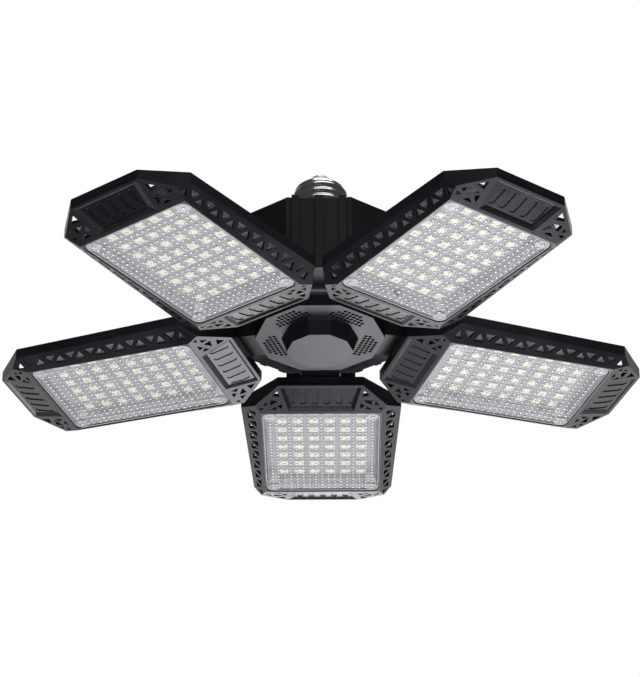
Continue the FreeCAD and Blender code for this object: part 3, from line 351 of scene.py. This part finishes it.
def moulded(name, color, roughness, grain, size=GRAIN_SIZE, tone=GRAIN_TONE, rounding=0.0, **sockets):
    """Plain moulded plastic with its grain."""
    material, tree, shader = new_material(name, **sockets)
    part = grouped(tree, grain, [("Color", color), ("Roughness", roughness), ("Grain Size", size),
                                 ("Tone Shift", tone)])
    tree.links.new(part.outputs["Color"], shader.inputs["Base Color"])
    tree.links.new(part.outputs["Roughness"], shader.inputs["Roughness"])
    bump(tree, shader, part.outputs["Height"], GRAIN_DEPTH, rounding)
    return material


def metal(name, color, tarnish, roughness, drawn):
    """Turned or plated metal in those two tones."""
    material, tree, shader = new_material(name, Metallic=1.0)
    part = grouped(tree, drawn, [("Color", color), ("Tarnish", tarnish), ("Roughness", roughness)])
    tree.links.new(part.outputs["Color"], shader.inputs["Base Color"])
    tree.links.new(part.outputs["Roughness"], shader.inputs["Roughness"])
    bump(tree, shader, part.outputs["Height"], RING_DEPTH)
    return material


def within(tree, value, low, high, soft):
    """1 where value lies between low and high, falling to 0 over soft on each side."""
    rise = ramp(tree, value, low - soft, low)
    fall = ramp(tree, value, high, high + soft, 1.0, 0.0)
    return math_node(tree, "MULTIPLY", rise, fall)


def recess_depth(tree, where):
    """How far behind the plane of its end slope a point of a panel frame lies."""
    off = math_node(tree, "SUBTRACT", where.outputs["Along"], LENS_MIDDLE)
    beyond = math_node(tree, "SUBTRACT", math_node(tree, "ABSOLUTE", off), RIM_HALF)
    outer = math_node(tree, "GREATER_THAN", off, 0.0)
    slope = math_node(tree, "MULTIPLY_ADD", outer, OUTER_SLOPE - INNER_SLOPE, INNER_SLOPE)
    height = math_node(tree, "SUBTRACT", where.outputs["Height"], FRAME_FACE)
    depth = math_node(tree, "SUBTRACT", height, math_node(tree, "MULTIPLY", beyond, slope))
    across = math_node(tree, "ABSOLUTE", where.outputs["Across"])
    near = math_node(tree, "MULTIPLY", ramp(tree, beyond, *RECESS_START),
                     ramp(tree, across, RECESS_REACH, RECESS_REACH + RECESS_EDGE, 1.0, 0.0))
    return math_node(tree, "MULTIPLY", depth, near)


def frame_plastic(angle, grain, place):
    """Black of a panel frame, with the polished floors of its two end recesses painted darker as painted
    shade.
    """
    material, tree, shader = new_material("panel_plastic_%d" % angle, Specular_Tint=BLACK_SHEEN)
    where = grouped(tree, place, [("Angle", math.radians(angle))])
    part = grouped(tree, grain, [("Color", PANEL_BLACK), ("Roughness", SATIN),
                                 ("Grain Size", GRAIN_SIZE), ("Tone Shift", GRAIN_TONE)])
    floor = within(tree, recess_depth(tree, where), *RECESS_FLOOR, RECESS_SOFT)
    # the darker recess floor colour is painted shade; the lower roughness there is the real polish
    color = blended(tree, floor, part.outputs["Color"], RECESS_SHADE_BLACK)
    rough = math_node(tree, "MULTIPLY_ADD", floor, RECESS_SHEEN, part.outputs["Roughness"])
    tree.links.new(color, shader.inputs["Base Color"])
    tree.links.new(rough, shader.inputs["Roughness"])
    bump(tree, shader, part.outputs["Height"], GRAIN_DEPTH, EDGE_ROUNDING)
    return material


def lens_plastic(angle, place):
    """Clear tray: a nearly invisible face, pale side walls and frosted corner posts."""
    material, tree, shader = new_material("lens_plastic_%d" % angle, Roughness=0.1)
    where = grouped(tree, place, [("Angle", math.radians(angle))])
    along = math_node(tree, "ABSOLUTE", math_node(tree, "SUBTRACT", where.outputs["Along"], LENS_MIDDLE))
    across = math_node(tree, "ABSOLUTE", where.outputs["Across"])
    off_along = math_node(tree, "SUBTRACT", along, LENS_LENGTH / 2 - POST_INSET)
    off_across = math_node(tree, "SUBTRACT", across, LENS_WIDTH / 2 - POST_INSET)
    reach = math_node(tree, "SQRT", math_node(tree, "ADD", math_node(tree, "POWER", off_along, 2.0),
                                              math_node(tree, "POWER", off_across, 2.0)))
    behind = ramp(tree, where.outputs["Height"], LENS_FACE + LENS_PLATE * PLATE_SKIN, LENS_FACE + LENS_PLATE)
    post = math_node(tree, "MULTIPLY", ramp(tree, behind, 0.0, 1.0, POST_FACE, 1.0),
                     ramp(tree, reach, POST_RADIUS + POST_EDGE[0], POST_RADIUS + POST_EDGE[1], 1.0, 0.0))
    end, flank = LENS_LENGTH / 2 - LENS_WALL, LENS_WIDTH / 2 - LENS_WALL
    side = math_node(tree, "MAXIMUM", ramp(tree, along, end - WALL_EDGE, end),
                     ramp(tree, across, flank - WALL_EDGE, flank))
    wall = math_node(tree, "MULTIPLY", behind, side)
    place_here = add(tree, "ShaderNodeTexCoord").outputs["Object"]
    haze = add(tree, "ShaderNodeTexNoise", [("Vector", place_here), ("Scale", HAZE_SCALE),
                                            ("Detail", 2.0)]).outputs["Fac"]
    mist = ramp(tree, haze, *NOISE_SPAN, -HAZE_ALPHA, HAZE_ALPHA)
    alpha = math_node(tree, "MULTIPLY_ADD", wall, WALL_ALPHA - LENS_ALPHA, LENS_ALPHA)
    alpha = math_node(tree, "MULTIPLY_ADD", post, POST_ALPHA - LENS_ALPHA, alpha)
    alpha = math_node(tree, "ADD", math_node(tree, "MINIMUM", alpha, WALL_ALPHA), mist)
    color = blended(tree, post, blended(tree, wall, LENS_TINT, WALL_TINT), POST_TINT)
    rough = math_node(tree, "MULTIPLY_ADD", math_node(tree, "MAXIMUM", post, wall), FROST_SHEEN,
                      ramp(tree, haze, *NOISE_SPAN, *LENS_SHEEN))
    tree.links.new(color, shader.inputs["Base Color"])
    tree.links.new(rough, shader.inputs["Roughness"])
    tree.links.new(alpha, shader.inputs["Alpha"])
    return material


def dot_plastic(grain):
    """Lens dots: a painted highlight on top inside a ring of painted shade, standing for the light that the
    small dome bends.
    """
    material, tree, shader = new_material("lens_dot_plastic", Roughness=DOT_SHEEN)
    place = add(tree, "ShaderNodeTexCoord").outputs["Object"]
    height = add(tree, "ShaderNodeSeparateXYZ", [(0, place)]).outputs["Z"]
    painted_highlight_share = ramp(tree, height, LENS_FACE - DOT_TURN[0], LENS_FACE - DOT_TURN[1])
    part = grouped(tree, grain, [("Color", DOT_PAINTED_HIGHLIGHT), ("Grain Size", FINE_GRAIN), ("Tone Shift", EVEN_TONE)])
    # painted highlight on top of each dot, painted shade in the ring round it
    tree.links.new(blended(tree, painted_highlight_share, DOT_PAINTED_SHADE, part.outputs["Color"]), shader.inputs["Base Color"])
    tree.links.new(ramp(tree, painted_highlight_share, 0.0, 1.0, *DOT_ALPHA), shader.inputs["Alpha"])
    return material


def board_coating(angle, grain, place):
    """Silver-white board with faint darker lanes under its columns of lights."""
    material, tree, shader = new_material("board_coating_%d" % angle)
    where = grouped(tree, place, [("Angle", math.radians(angle))])
    lane = math_node(tree, "FRACT", math_node(tree, "DIVIDE", where.outputs["Across"], LED_COLUMN_PITCH))
    gap = ramp(tree, math_node(tree, "ABSOLUTE", math_node(tree, "SUBTRACT", lane, 0.5)), *LANE_HALF)
    row = math_node(tree, "FRACT", math_node(tree, "DIVIDE", math_node(
        tree, "SUBTRACT", where.outputs["Along"], LENS_MIDDLE), LED_ROW_PITCH))
    cross = ramp(tree, math_node(tree, "ABSOLUTE", math_node(tree, "SUBTRACT", row, 0.5)), *LANE_END,
                 1.0, 0.0)
    coated = math_node(tree, "MULTIPLY", gap, cross)
    part = grouped(tree, grain, [("Color", BOARD_SILVER), ("Roughness", BOARD_SHEEN),
                                 ("Grain Size", FINE_GRAIN), ("Tone Shift", EVEN_TONE)])
    color = blended(tree, coated, BOARD_LANE, part.outputs["Color"])
    tree.links.new(color, shader.inputs["Base Color"])
    tree.links.new(part.outputs["Roughness"], shader.inputs["Roughness"])
    bump(tree, shader, coated, LANE_STEP)
    return material


def sink_metal(angle, place):
    """Extruded aluminium with die lines along the panel."""
    material, tree, shader = new_material("heat_sink_metal_%d" % angle, Metallic=1.0)
    where = grouped(tree, place, [("Angle", math.radians(angle))])
    drawn_out = add(tree, "ShaderNodeCombineXYZ", [
        (i, math_node(tree, "MULTIPLY", where.outputs[label], DIE_SCALE[i]))
        for i, label in enumerate(("Along", "Across", "Height"))]).outputs[0]
    lines = add(tree, "ShaderNodeTexNoise", [("Vector", drawn_out), ("Scale", 1.0),
                                             ("Detail", 2.0)]).outputs["Fac"]
    place_here = add(tree, "ShaderNodeTexCoord").outputs["Object"]
    stain = add(tree, "ShaderNodeTexNoise", [("Vector", place_here), ("Scale", STAIN_SCALE),
                                             ("Detail", 3.0)]).outputs["Fac"]
    tree.links.new(blended(tree, ramp(tree, stain, *STAIN_SPAN, 0.0, STAIN_SHARE), SINK_METAL, SINK_STAIN),
                   shader.inputs["Base Color"])
    tree.links.new(ramp(tree, lines, *NOISE_SPAN, *DIE_SHEEN), shader.inputs["Roughness"])
    bump(tree, shader, lines, RING_DEPTH)
    return material


def make_finishes(grain, drawn):
    """Finishes that several pieces share, by the name that dress_hub and dress_panel use."""
    return {
        "hub": moulded("hub_plastic", HUB_BLACK, 0.42, grain, rounding=EDGE_ROUNDING,
                       Specular_Tint=BLACK_SHEEN),
        "cap": moulded("cap_plastic", PANEL_BLACK, SATIN, grain, rounding=EDGE_ROUNDING,
                       Specular_Tint=BLACK_SHEEN),
        "nickel": metal("nickel_plate", grey(0.72), grey(0.5), 0.14, drawn),
        "contact": metal("contact_metal", grey(0.66), grey(0.45), 0.3, drawn),
        "steel": metal("screw_steel", grey(0.5), grey(0.3), 0.35, drawn),
        "insulator": moulded("insulator_glaze", grey(0.78, 0.98), 0.2, grain, tone=0.04),
        "circuit": moulded("circuit_board", (0.02, 0.12, 0.05, 1.0), 0.45, grain),
        "tape": moulded("transformer_tape", (0.75, 0.55, 0.06, 1.0), 0.4, grain),
        "sleeve": moulded("capacitor_sleeve", (0.02, 0.04, 0.16, 1.0), 0.3, grain),
        "chip": moulded("chip_plastic", grey(0.02), 0.5, grain),
        "sheath": moulded("lead_sheath", grey(0.03), 0.45, grain, size=SHEATH_GRAIN),
        "pale_sheath": moulded("panel_lead_sheath", grey(0.5), 0.4, grain, size=SHEATH_GRAIN,
                               tone=0.08),
        "washer": moulded("washer_nylon", grey(0.03), 0.5, grain),
        "package": moulded("package_body", (0.90, 0.90, 0.80, 1.0), 0.4, grain, tone=EVEN_TONE),
        "phosphor": moulded("led_phosphor", PHOSPHOR, 0.35, grain, size=PHOSPHOR_GRAIN,
                            tone=EVEN_TONE),
        "terminal": metal("terminal_metal", grey(0.8), grey(0.6), 0.3, drawn),
        "dot": dot_plastic(grain),
        "frosted": moulded("frosted_plastic", LENS_TINT, FROST_SHEEN, grain, tone=0.02, Alpha=0.55),
    }


# ---- geometry that repeats -------------------------------------------------------------
def new_form(name, inputs):
    """Empty geometry node tree with an output and those named inputs."""
    tree = bpy.data.node_groups.new(name, "GeometryNodeTree")
    for label, kind in inputs:
        tree.interface.new_socket(label, in_out="INPUT", socket_type=kind)
    tree.interface.new_socket("Geometry", in_out="OUTPUT", socket_type="NodeSocketGeometry")
    return tree, tree.nodes.new("NodeGroupInput"), tree.nodes.new("NodeGroupOutput")


def point_grid(tree, rows, columns, row_pitch, column_pitch):
    """Grid of points centred on the origin, rows along X."""
    length = math_node(tree, "MULTIPLY", math_node(tree, "SUBTRACT", rows, 1.0), row_pitch)
    width = math_node(tree, "MULTIPLY", math_node(tree, "SUBTRACT", columns, 1.0), column_pitch)
    return add(tree, "GeometryNodeMeshGrid", [("Size X", length), ("Size Y", width),
                                              ("Vertices X", rows), ("Vertices Y", columns)]).outputs["Mesh"]


def on_panel(tree, geometry, given):
    """Turn a form drawn at the origin face down, at the height given, and out to its panel."""
    spot = add(tree, "ShaderNodeCombineXYZ", [("X", given.outputs["Along"]), ("Z", given.outputs["Height"])])
    faced = add(tree, "GeometryNodeTransform", [("Geometry", geometry), ("Rotation", (math.pi, 0, 0)),
                                                ("Translation", spot.outputs[0])])
    turn = add(tree, "ShaderNodeCombineXYZ", [("Z", given.outputs["Angle"])])
    rotation = add(tree, "FunctionNodeEulerToRotation", [(0, turn.outputs[0])])
    return add(tree, "GeometryNodeTransform", [("Geometry", faced.outputs[0]),
                                               ("Rotation", rotation.outputs[0])]).outputs[0]


def closed_form(tree, result, geometry, finish, smooth=True):
    """Last nodes of every tree; finish is None where its pieces already have one."""
    real = add(tree, "GeometryNodeRealizeInstances", [("Geometry", geometry)]).outputs[0]
    shaded = add(tree, "GeometryNodeSetShadeSmooth", [("Geometry", real),
                                                      ("Shade Smooth", smooth)]).outputs[0]
    if finish:
        shaded = add(tree, "GeometryNodeSetMaterial", [("Geometry", shaded),
                                                       ("Material", finish)]).outputs[0]
    tree.links.new(shaded, result.inputs[0])


PLACE_INPUTS = [("Along", "NodeSocketFloat"), ("Height", "NodeSocketFloat"), ("Angle", "NodeSocketFloat")]
GRID_INPUTS = [("Rows", "NodeSocketInt"), ("Columns", "NodeSocketInt"), ("Row Pitch", "NodeSocketFloat"),
               ("Column Pitch", "NodeSocketFloat")]
LOOP_INPUTS = [("Length", "NodeSocketFloat"), ("Width", "NodeSocketFloat"), ("Corner", "NodeSocketFloat")]


def grid_from(tree, given):
    """Grid of points from a tree's four grid inputs."""
    return point_grid(tree, *[given.outputs[label] for label, _ in GRID_INPUTS])


def lens_dots_form():
    """Low domes in a square grid over the lens face."""
    tree, given, result = new_form("lens dots", GRID_INPUTS + PLACE_INPUTS + [
        ("Radius", "NodeSocketFloat"), ("Dome Height", "NodeSocketFloat"), ("Finish", "NodeSocketMaterial")])
    ball = add(tree, "GeometryNodeMeshUVSphere", [("Segments", DOT_SIDES), ("Rings", DOT_RINGS),
                                                  ("Radius", given.outputs["Radius"])]).outputs["Mesh"]
    height = add(tree, "ShaderNodeSeparateXYZ", [(0, add(tree, "GeometryNodeInputPosition").outputs[0])])
    low = add(tree, "FunctionNodeCompare", [(0, height.outputs["Z"]), (1, -DOT_FOOT)],
              operation="LESS_THAN").outputs[0]
    dome = add(tree, "GeometryNodeDeleteGeometry", [("Geometry", ball), ("Selection", low)]).outputs[0]
    flat = math_node(tree, "DIVIDE", given.outputs["Dome Height"], given.outputs["Radius"])
    squash = add(tree, "ShaderNodeCombineXYZ", [("X", 1.0), ("Y", 1.0), ("Z", flat)]).outputs[0]
    dome = add(tree, "GeometryNodeTransform", [("Geometry", dome), ("Scale", squash)]).outputs[0]
    dots = add(tree, "GeometryNodeInstanceOnPoints", [("Points", grid_from(tree, given)),
                                                      ("Instance", dome)]).outputs[0]
    closed_form(tree, result, on_panel(tree, dots, given), given.outputs["Finish"])
    return tree


def led_package_form():
    """Surface-mounted light: a cup with a phosphor floor, and a terminal at each end."""
    tree, given, result = new_form("led packages", GRID_INPUTS + PLACE_INPUTS + [
        ("Length", "NodeSocketFloat"), ("Width", "NodeSocketFloat"), ("Body Height", "NodeSocketFloat"),
        ("Body Finish", "NodeSocketMaterial"), ("Phosphor", "NodeSocketMaterial"),
        ("Terminal Finish", "NodeSocketMaterial")])
    size = add(tree, "ShaderNodeCombineXYZ", [("X", given.outputs["Length"]), ("Y", given.outputs["Width"]),
                                              ("Z", given.outputs["Body Height"])]).outputs[0]
    half = math_node(tree, "MULTIPLY", given.outputs["Body Height"], 0.5)
    lift = add(tree, "ShaderNodeCombineXYZ", [("Z", half)]).outputs[0]
    block = add(tree, "GeometryNodeMeshCube", [("Size", size)]).outputs["Mesh"]
    block = add(tree, "GeometryNodeTransform", [("Geometry", block), ("Translation", lift)]).outputs[0]
    block = add(tree, "GeometryNodeSetMaterial", [("Geometry", block),
                                                  ("Material", given.outputs["Body Finish"])]).outputs[0]
    normal = add(tree, "GeometryNodeInputNormal").outputs[0]
    facing = add(tree, "ShaderNodeSeparateXYZ", [(0, normal)]).outputs["Z"]
    top = add(tree, "FunctionNodeCompare", [(0, facing), (1, FACES_UP)], operation="GREATER_THAN").outputs[0]
    rim = add(tree, "GeometryNodeExtrudeMesh", [("Mesh", block), ("Selection", top), ("Offset Scale", 0.0)])
    cup = add(tree, "GeometryNodeScaleElements", [("Geometry", rim.outputs["Mesh"]),
                                                  ("Selection", rim.outputs["Top"]),
                                                  ("Scale", CUP_SHARE)]).outputs[0]
    well = add(tree, "GeometryNodeExtrudeMesh", [("Mesh", cup), ("Selection", rim.outputs["Top"]),
                                                 ("Offset Scale", -CUP_DEPTH)])
    floor = add(tree, "GeometryNodeSetMaterial", [("Geometry", well.outputs["Mesh"]),
                                                  ("Selection", well.outputs["Top"]),
                                                  ("Material", given.outputs["Phosphor"])]).outputs[0]
    tab = add(tree, "GeometryNodeMeshCube", [("Size", TERMINAL_SIZE)]).outputs["Mesh"]
    tab = add(tree, "GeometryNodeSetMaterial", [("Geometry", tab),
                                                ("Material", given.outputs["Terminal Finish"])]).outputs[0]
    reach = math_node(tree, "MULTIPLY", given.outputs["Width"], 0.5)
    join = add(tree, "GeometryNodeJoinGeometry")
    for side in (-1.0, 1.0):
        edge = math_node(tree, "MULTIPLY", reach, side)
        for along in (-TERMINAL_ALONG, TERMINAL_ALONG):
            at = add(tree, "ShaderNodeCombineXYZ", [("X", along), ("Y", edge),
                                                    ("Z", TERMINAL_LIFT)]).outputs[0]
            moved = add(tree, "GeometryNodeTransform", [("Geometry", tab), ("Translation", at)]).outputs[0]
            tree.links.new(moved, join.inputs[0])
    tree.links.new(floor, join.inputs[0])
    packs = add(tree, "GeometryNodeInstanceOnPoints", [("Points", grid_from(tree, given)),
                                                       ("Instance", join.outputs[0])]).outputs[0]
    closed_form(tree, result, on_panel(tree, packs, given), None, smooth=False)
    return tree


def tab_form():
    """Upright snap tabs that stand behind the lens near its long sides."""
    tree, given, result = new_form("lens tabs", GRID_INPUTS + PLACE_INPUTS + [
        ("Size", "NodeSocketVector"), ("Finish", "NodeSocketMaterial")])
    tab = add(tree, "GeometryNodeMeshCube", [("Size", given.outputs["Size"])]).outputs["Mesh"]
    tabs = add(tree, "GeometryNodeInstanceOnPoints", [("Points", grid_from(tree, given)),
                                                      ("Instance", tab)]).outputs[0]
    closed_form(tree, result, on_panel(tree, tabs, given), given.outputs["Finish"], smooth=False)
    return tree


def lens_loop(tree, given):
    """Rounded rectangle of the lens, drawn at the origin."""
    size = [("Width", given.outputs["Length"]), ("Height", given.outputs["Width"])]
    loop = add(tree, "GeometryNodeCurvePrimitiveQuadrilateral", size).outputs[0]
    return add(tree, "GeometryNodeFilletCurve", [("Curve", loop), ("Radius", given.outputs["Corner"]),
                                                 ("Count", CORNER_STEPS)], mode="POLY").outputs[0]


def rib_form():
    """Fine upright ribs all round the inside of the tray's side walls."""
    tree, given, result = new_form("lens ribs", PLACE_INPUTS + LOOP_INPUTS + [
        ("Pitch", "NodeSocketFloat"), ("Size", "NodeSocketVector"), ("Finish", "NodeSocketMaterial")])
    points = add(tree, "GeometryNodeCurveToPoints", [("Curve", lens_loop(tree, given)),
                                                     ("Length", given.outputs["Pitch"])], mode="LENGTH")
    rib = add(tree, "GeometryNodeMeshCube", [("Size", given.outputs["Size"])]).outputs["Mesh"]
    ribs = add(tree, "GeometryNodeInstanceOnPoints", [("Points", points.outputs["Points"]), ("Instance", rib),
                                                      ("Rotation", points.outputs["Rotation"])]).outputs[0]
    closed_form(tree, result, on_panel(tree, ribs, given), given.outputs["Finish"], smooth=False)
    return tree


def lens_highlight_bead_form():
    """Rounded pale bead round the lens face, a painted highlight where the moulding catches the light."""
    tree, given, result = new_form("lens highlight bead", PLACE_INPUTS + LOOP_INPUTS + [
        ("Bead", "NodeSocketFloat"), ("Finish", "NodeSocketMaterial")])
    section = add(tree, "GeometryNodeCurvePrimitiveCircle", [("Resolution", BEAD_SIDES),
                                                             ("Radius", given.outputs["Bead"])]).outputs[0]
    bead = add(tree, "GeometryNodeCurveToMesh", [("Curve", lens_loop(tree, given)),
                                                 ("Profile Curve", section)]).outputs[0]
    closed_form(tree, result, on_panel(tree, bead, given), given.outputs["Finish"])
    return tree


def grown(tree, name, values):
    """Plain mesh object of what the tree makes with those named values."""
    seed = bpy.data.objects.new(name + "_seed", bpy.data.meshes.new(name + "_seed"))
    bpy.context.scene.collection.objects.link(seed)
    modifier = seed.modifiers.new("form", "NODES")
    modifier.node_group = tree
    for item in tree.interface.items_tree:
        if item.item_type == "SOCKET" and item.in_out == "INPUT" and item.name in values:
            modifier[item.identifier] = values[item.name]
    bpy.context.view_layer.update()
    shape = seed.evaluated_get(bpy.context.evaluated_depsgraph_get())
    mesh = bpy.data.meshes.new_from_object(shape)
    mesh.name = name
    bpy.data.objects.remove(seed)
    piece = bpy.data.objects.new(name, mesh)
    bpy.context.scene.collection.objects.link(piece)
    return piece


# ---- dressing the lamp -----------------------------------------------------------------
def paint(nodes, name, material):
    """Give a node of the part that one material."""
    data = nodes[name].data
    data.materials.clear()
    data.materials.append(material)


def dress_hub(nodes, finishes):
    """Finishes of the pieces that don't fold."""
    for name, finish in (("vent_cap", "cap"), ("hub_base", "hub"), ("housing", "hub"), ("neck", "hub"),
                         ("neck_screws", "steel"), ("screw_shell", "nickel"),
                         ("base_insulator", "insulator"), ("centre_contact", "contact"),
                         ("driver_board", "circuit"), ("driver_transformer", "tape"),
                         ("driver_capacitors", "sleeve"), ("driver_chips", "chip"),
                         ("driver_screws", "steel"), ("hub_leads", "sheath"),
                         ("mains_leads", "sheath")):
        paint(nodes, name, finishes[finish])


def dress_panel(number, angle, nodes, finishes, groups, forms):
    """Finishes of one panel, and the fine detail of its lens and lights."""
    grain, place = groups
    body = "panel_%d" % number

    def node(part):
        return "%s_%s" % (body, part)

    paint(nodes, node("frame"), frame_plastic(angle, grain, place))
    paint(nodes, node("lens"), lens_plastic(angle, place))
    paint(nodes, node("led_board"), board_coating(angle, grain, place))
    paint(nodes, node("heat_sink"), sink_metal(angle, place))
    for part, finish in (("screws", "steel"), ("hinge_pin", "steel"), ("friction_washers", "washer"),
                         ("lead", "pale_sheath"), ("led_chips", "phosphor")):
        paint(nodes, node(part), finishes[finish])
    spot = {"Along": LENS_MIDDLE, "Angle": math.radians(angle)}
    dots = grown(forms["dots"], node("lens_dots"), spot | {
        "Rows": DOT_ROWS, "Columns": DOT_COLUMNS, "Row Pitch": DOT_PITCH, "Column Pitch": DOT_PITCH,
        "Height": LENS_FACE, "Radius": DOT_RADIUS, "Dome Height": DOT_HEIGHT, "Finish": finishes["dot"]})
    packages = grown(forms["packages"], node("led_packages"), spot | {
        "Rows": LED_ROWS, "Columns": LED_COLUMNS, "Row Pitch": LED_ROW_PITCH,
        "Column Pitch": LED_COLUMN_PITCH, "Height": BOARD_FACE, "Length": PACKAGE_LENGTH,
        "Width": PACKAGE_WIDTH, "Body Height": PACKAGE_HEIGHT, "Body Finish": finishes["package"],
        "Phosphor": finishes["phosphor"], "Terminal Finish": finishes["terminal"]})
    first, last = TAB_PLACES
    tabs = grown(forms["tabs"], node("lens_tabs"), spot | {
        "Along": LENS_MIDDLE + (first + last) / 2, "Rows": 2, "Columns": 2, "Row Pitch": last - first,
        "Column Pitch": 2 * TAB_ACROSS, "Height": LENS_FACE + LENS_PLATE + TAB_SIZE[2] / 2,
        "Size": TAB_SIZE, "Finish": finishes["frosted"]})
    rib_height = BOARD_FACE - LENS_FACE - LENS_PLATE
    ribs = grown(forms["ribs"], node("lens_ribs"), spot | {
        "Height": LENS_FACE + LENS_PLATE + rib_height / 2, "Length": LENS_LENGTH - 2 * LENS_WALL,
        "Width": LENS_WIDTH - 2 * LENS_WALL, "Corner": LENS_CORNER - LENS_WALL, "Pitch": RIB_PITCH,
        "Size": (RIB_SIZE[0], RIB_SIZE[1], rib_height), "Finish": finishes["frosted"]})
    # pale bead round the lens face: a painted highlight along its edge
    edge = grown(forms["edge"], node("lens_highlight_bead"), spot | {
        "Height": LENS_FACE + HIGHLIGHT_BEAD, "Length": LENS_LENGTH - 2 * HIGHLIGHT_BEAD,
        "Width": LENS_WIDTH - 2 * HIGHLIGHT_BEAD, "Corner": LENS_CORNER, "Bead": HIGHLIGHT_BEAD,
        "Finish": finishes["frosted"]})
    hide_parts(node("led_chips"))
    for piece in (dots, packages, tabs, ribs, edge):
        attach(piece, body)


def set_camera():
    """Camera on the near side, low down and looking up at the lamp."""
    data = bpy.data.cameras.new("camera")
    data.sensor_fit = "HORIZONTAL"
    data.sensor_width = 36.0
    data.lens = CAMERA_LENS
    data.clip_end = 50.0
    camera = bpy.data.objects.new("camera", data)
    bpy.context.scene.collection.objects.link(camera)
    level = CAMERA_DISTANCE * math.cos(CAMERA_RISE)
    camera.location = (CAMERA_AIM[0] + level * math.sin(CAMERA_YAW),
                       CAMERA_AIM[1] - level * math.cos(CAMERA_YAW),
                       CAMERA_AIM[2] - CAMERA_DISTANCE * math.sin(CAMERA_RISE))
    camera.rotation_euler = (math.pi / 2 + CAMERA_RISE, 0.0, CAMERA_YAW)
    bpy.context.scene.camera = camera


def towards_far_side(tree, place, narrowing):
    """How far a place lies on the far side (+Y), less a share of how far it lies sideways."""
    split = add(tree, "ShaderNodeSeparateXYZ", [(0, place)])
    sideways = math_node(tree, "ABSOLUTE", split.outputs["X"])
    return math_node(tree, "MULTIPLY_ADD", sideways, -narrowing, split.outputs["Y"])


def ray_kinds(tree):
    """1 for a ray that sees the background itself, and 1 for one that gloss mirrors."""
    path = add(tree, "ShaderNodeLightPath")
    seen = math_node(tree, "MAXIMUM", path.outputs["Is Camera Ray"], path.outputs["Is Transmission Ray"])
    return seen, path.outputs["Is Glossy Ray"]


def set_room():
    """White surroundings; what gloss mirrors of them is dark on the near side."""
    world = bpy.data.worlds.new("studio")
    bpy.context.scene.world = world
    world.use_nodes = True
    tree = world.node_tree
    backing = tree.nodes["Background"]
    seen, mirrored = ray_kinds(tree)
    way = add(tree, "ShaderNodeTexCoord").outputs["Generated"]
    depth = towards_far_side(tree, way, ROOM_NARROWING)
    room = ramp(tree, depth, ROOM_DARK_AT, ROOM_WHITE_AT, ROOM_DARK, 1.0)
    gloss = math_node(tree, "MULTIPLY", mirrored, math_node(tree, "SUBTRACT", room, WORLD_LIGHT))
    level = math_node(tree, "ADD", gloss, ramp(tree, seen, 0.0, 1.0, WORLD_LIGHT, 1.0))
    tree.links.new(level, backing.inputs["Strength"])
    backing.inputs["Color"].default_value = WHITE


def set_floor():
    """Pale floor far below the lamp; what gloss mirrors of it is dark on the near side too."""
    mesh = bpy.data.meshes.new("floor")
    reach = FLOOR_REACH
    mesh.from_pydata([(-reach, -reach, FLOOR_Z), (reach, -reach, FLOOR_Z), (reach, reach, FLOOR_Z),
                      (-reach, reach, FLOOR_Z)], [], [(0, 1, 2, 3)])
    floor = bpy.data.objects.new("floor", mesh)
    bpy.context.scene.collection.objects.link(floor)
    material, tree, shader = new_material("floor_paint", Roughness=0.8, Specular_IOR_Level=0.2)
    place = add(tree, "ShaderNodeTexCoord").outputs["Object"]
    cloud = add(tree, "ShaderNodeTexNoise", [("Vector", place), ("Scale", FLOOR_CLOUD_SCALE),
                                             ("Detail", 2.0)]).outputs["Fac"]
    seen, mirrored = ray_kinds(tree)
    paint_color = blended(tree, cloud, *FLOOR_TONES)
    tree.links.new(blended(tree, mirrored, paint_color, grey(0.0)), shader.inputs["Base Color"])
    depth = towards_far_side(tree, place, FLOOR_NARROWING)
    gloss = math_node(tree, "MULTIPLY", mirrored, ramp(tree, depth, FLOOR_DARK_AT, FLOOR_PALE_AT,
                                                       FLOOR_DARK, FLOOR_PALE))
    tree.links.new(math_node(tree, "MULTIPLY_ADD", seen, FLOOR_GLOW, gloss),
                   shader.inputs["Emission Strength"])
    shader.inputs["Emission Color"].default_value = WHITE
    mesh.materials.append(material)


def set_lamps():
    """Soft round lamps, all turned to the middle of the view."""
    for name, place, size, watts in LAMPS:
        data = bpy.data.lights.new(name, "AREA")
        data.shape = "DISK"
        data.size = size
        data.energy = watts
        lamp = bpy.data.objects.new(name, data)
        lamp.location = place
        bpy.context.scene.collection.objects.link(lamp)
        away = lamp.location.copy()
        away.z -= CAMERA_AIM[2]
        lamp.rotation_euler = away.to_track_quat("Z", "Y").to_euler()


def main():
    scene = bpy.context.scene
    scene.view_settings.view_transform = "Standard"
    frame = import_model()
    set_camera()
    set_room()
    set_floor()
    set_lamps()
    nodes = frame["nodes"]
    grain, place, drawn = moulding_grain_group(), panel_place_group(), drawn_metal_group()
    finishes = make_finishes(grain, drawn)
    forms = {"dots": lens_dots_form(), "packages": led_package_form(), "tabs": tab_form(),
             "ribs": rib_form(), "edge": lens_highlight_bead_form()}
    dress_hub(nodes, finishes)
    for number, angle in enumerate(PANEL_ANGLES, 1):
        dress_panel(number, angle, nodes, finishes, (grain, place), forms)


main()
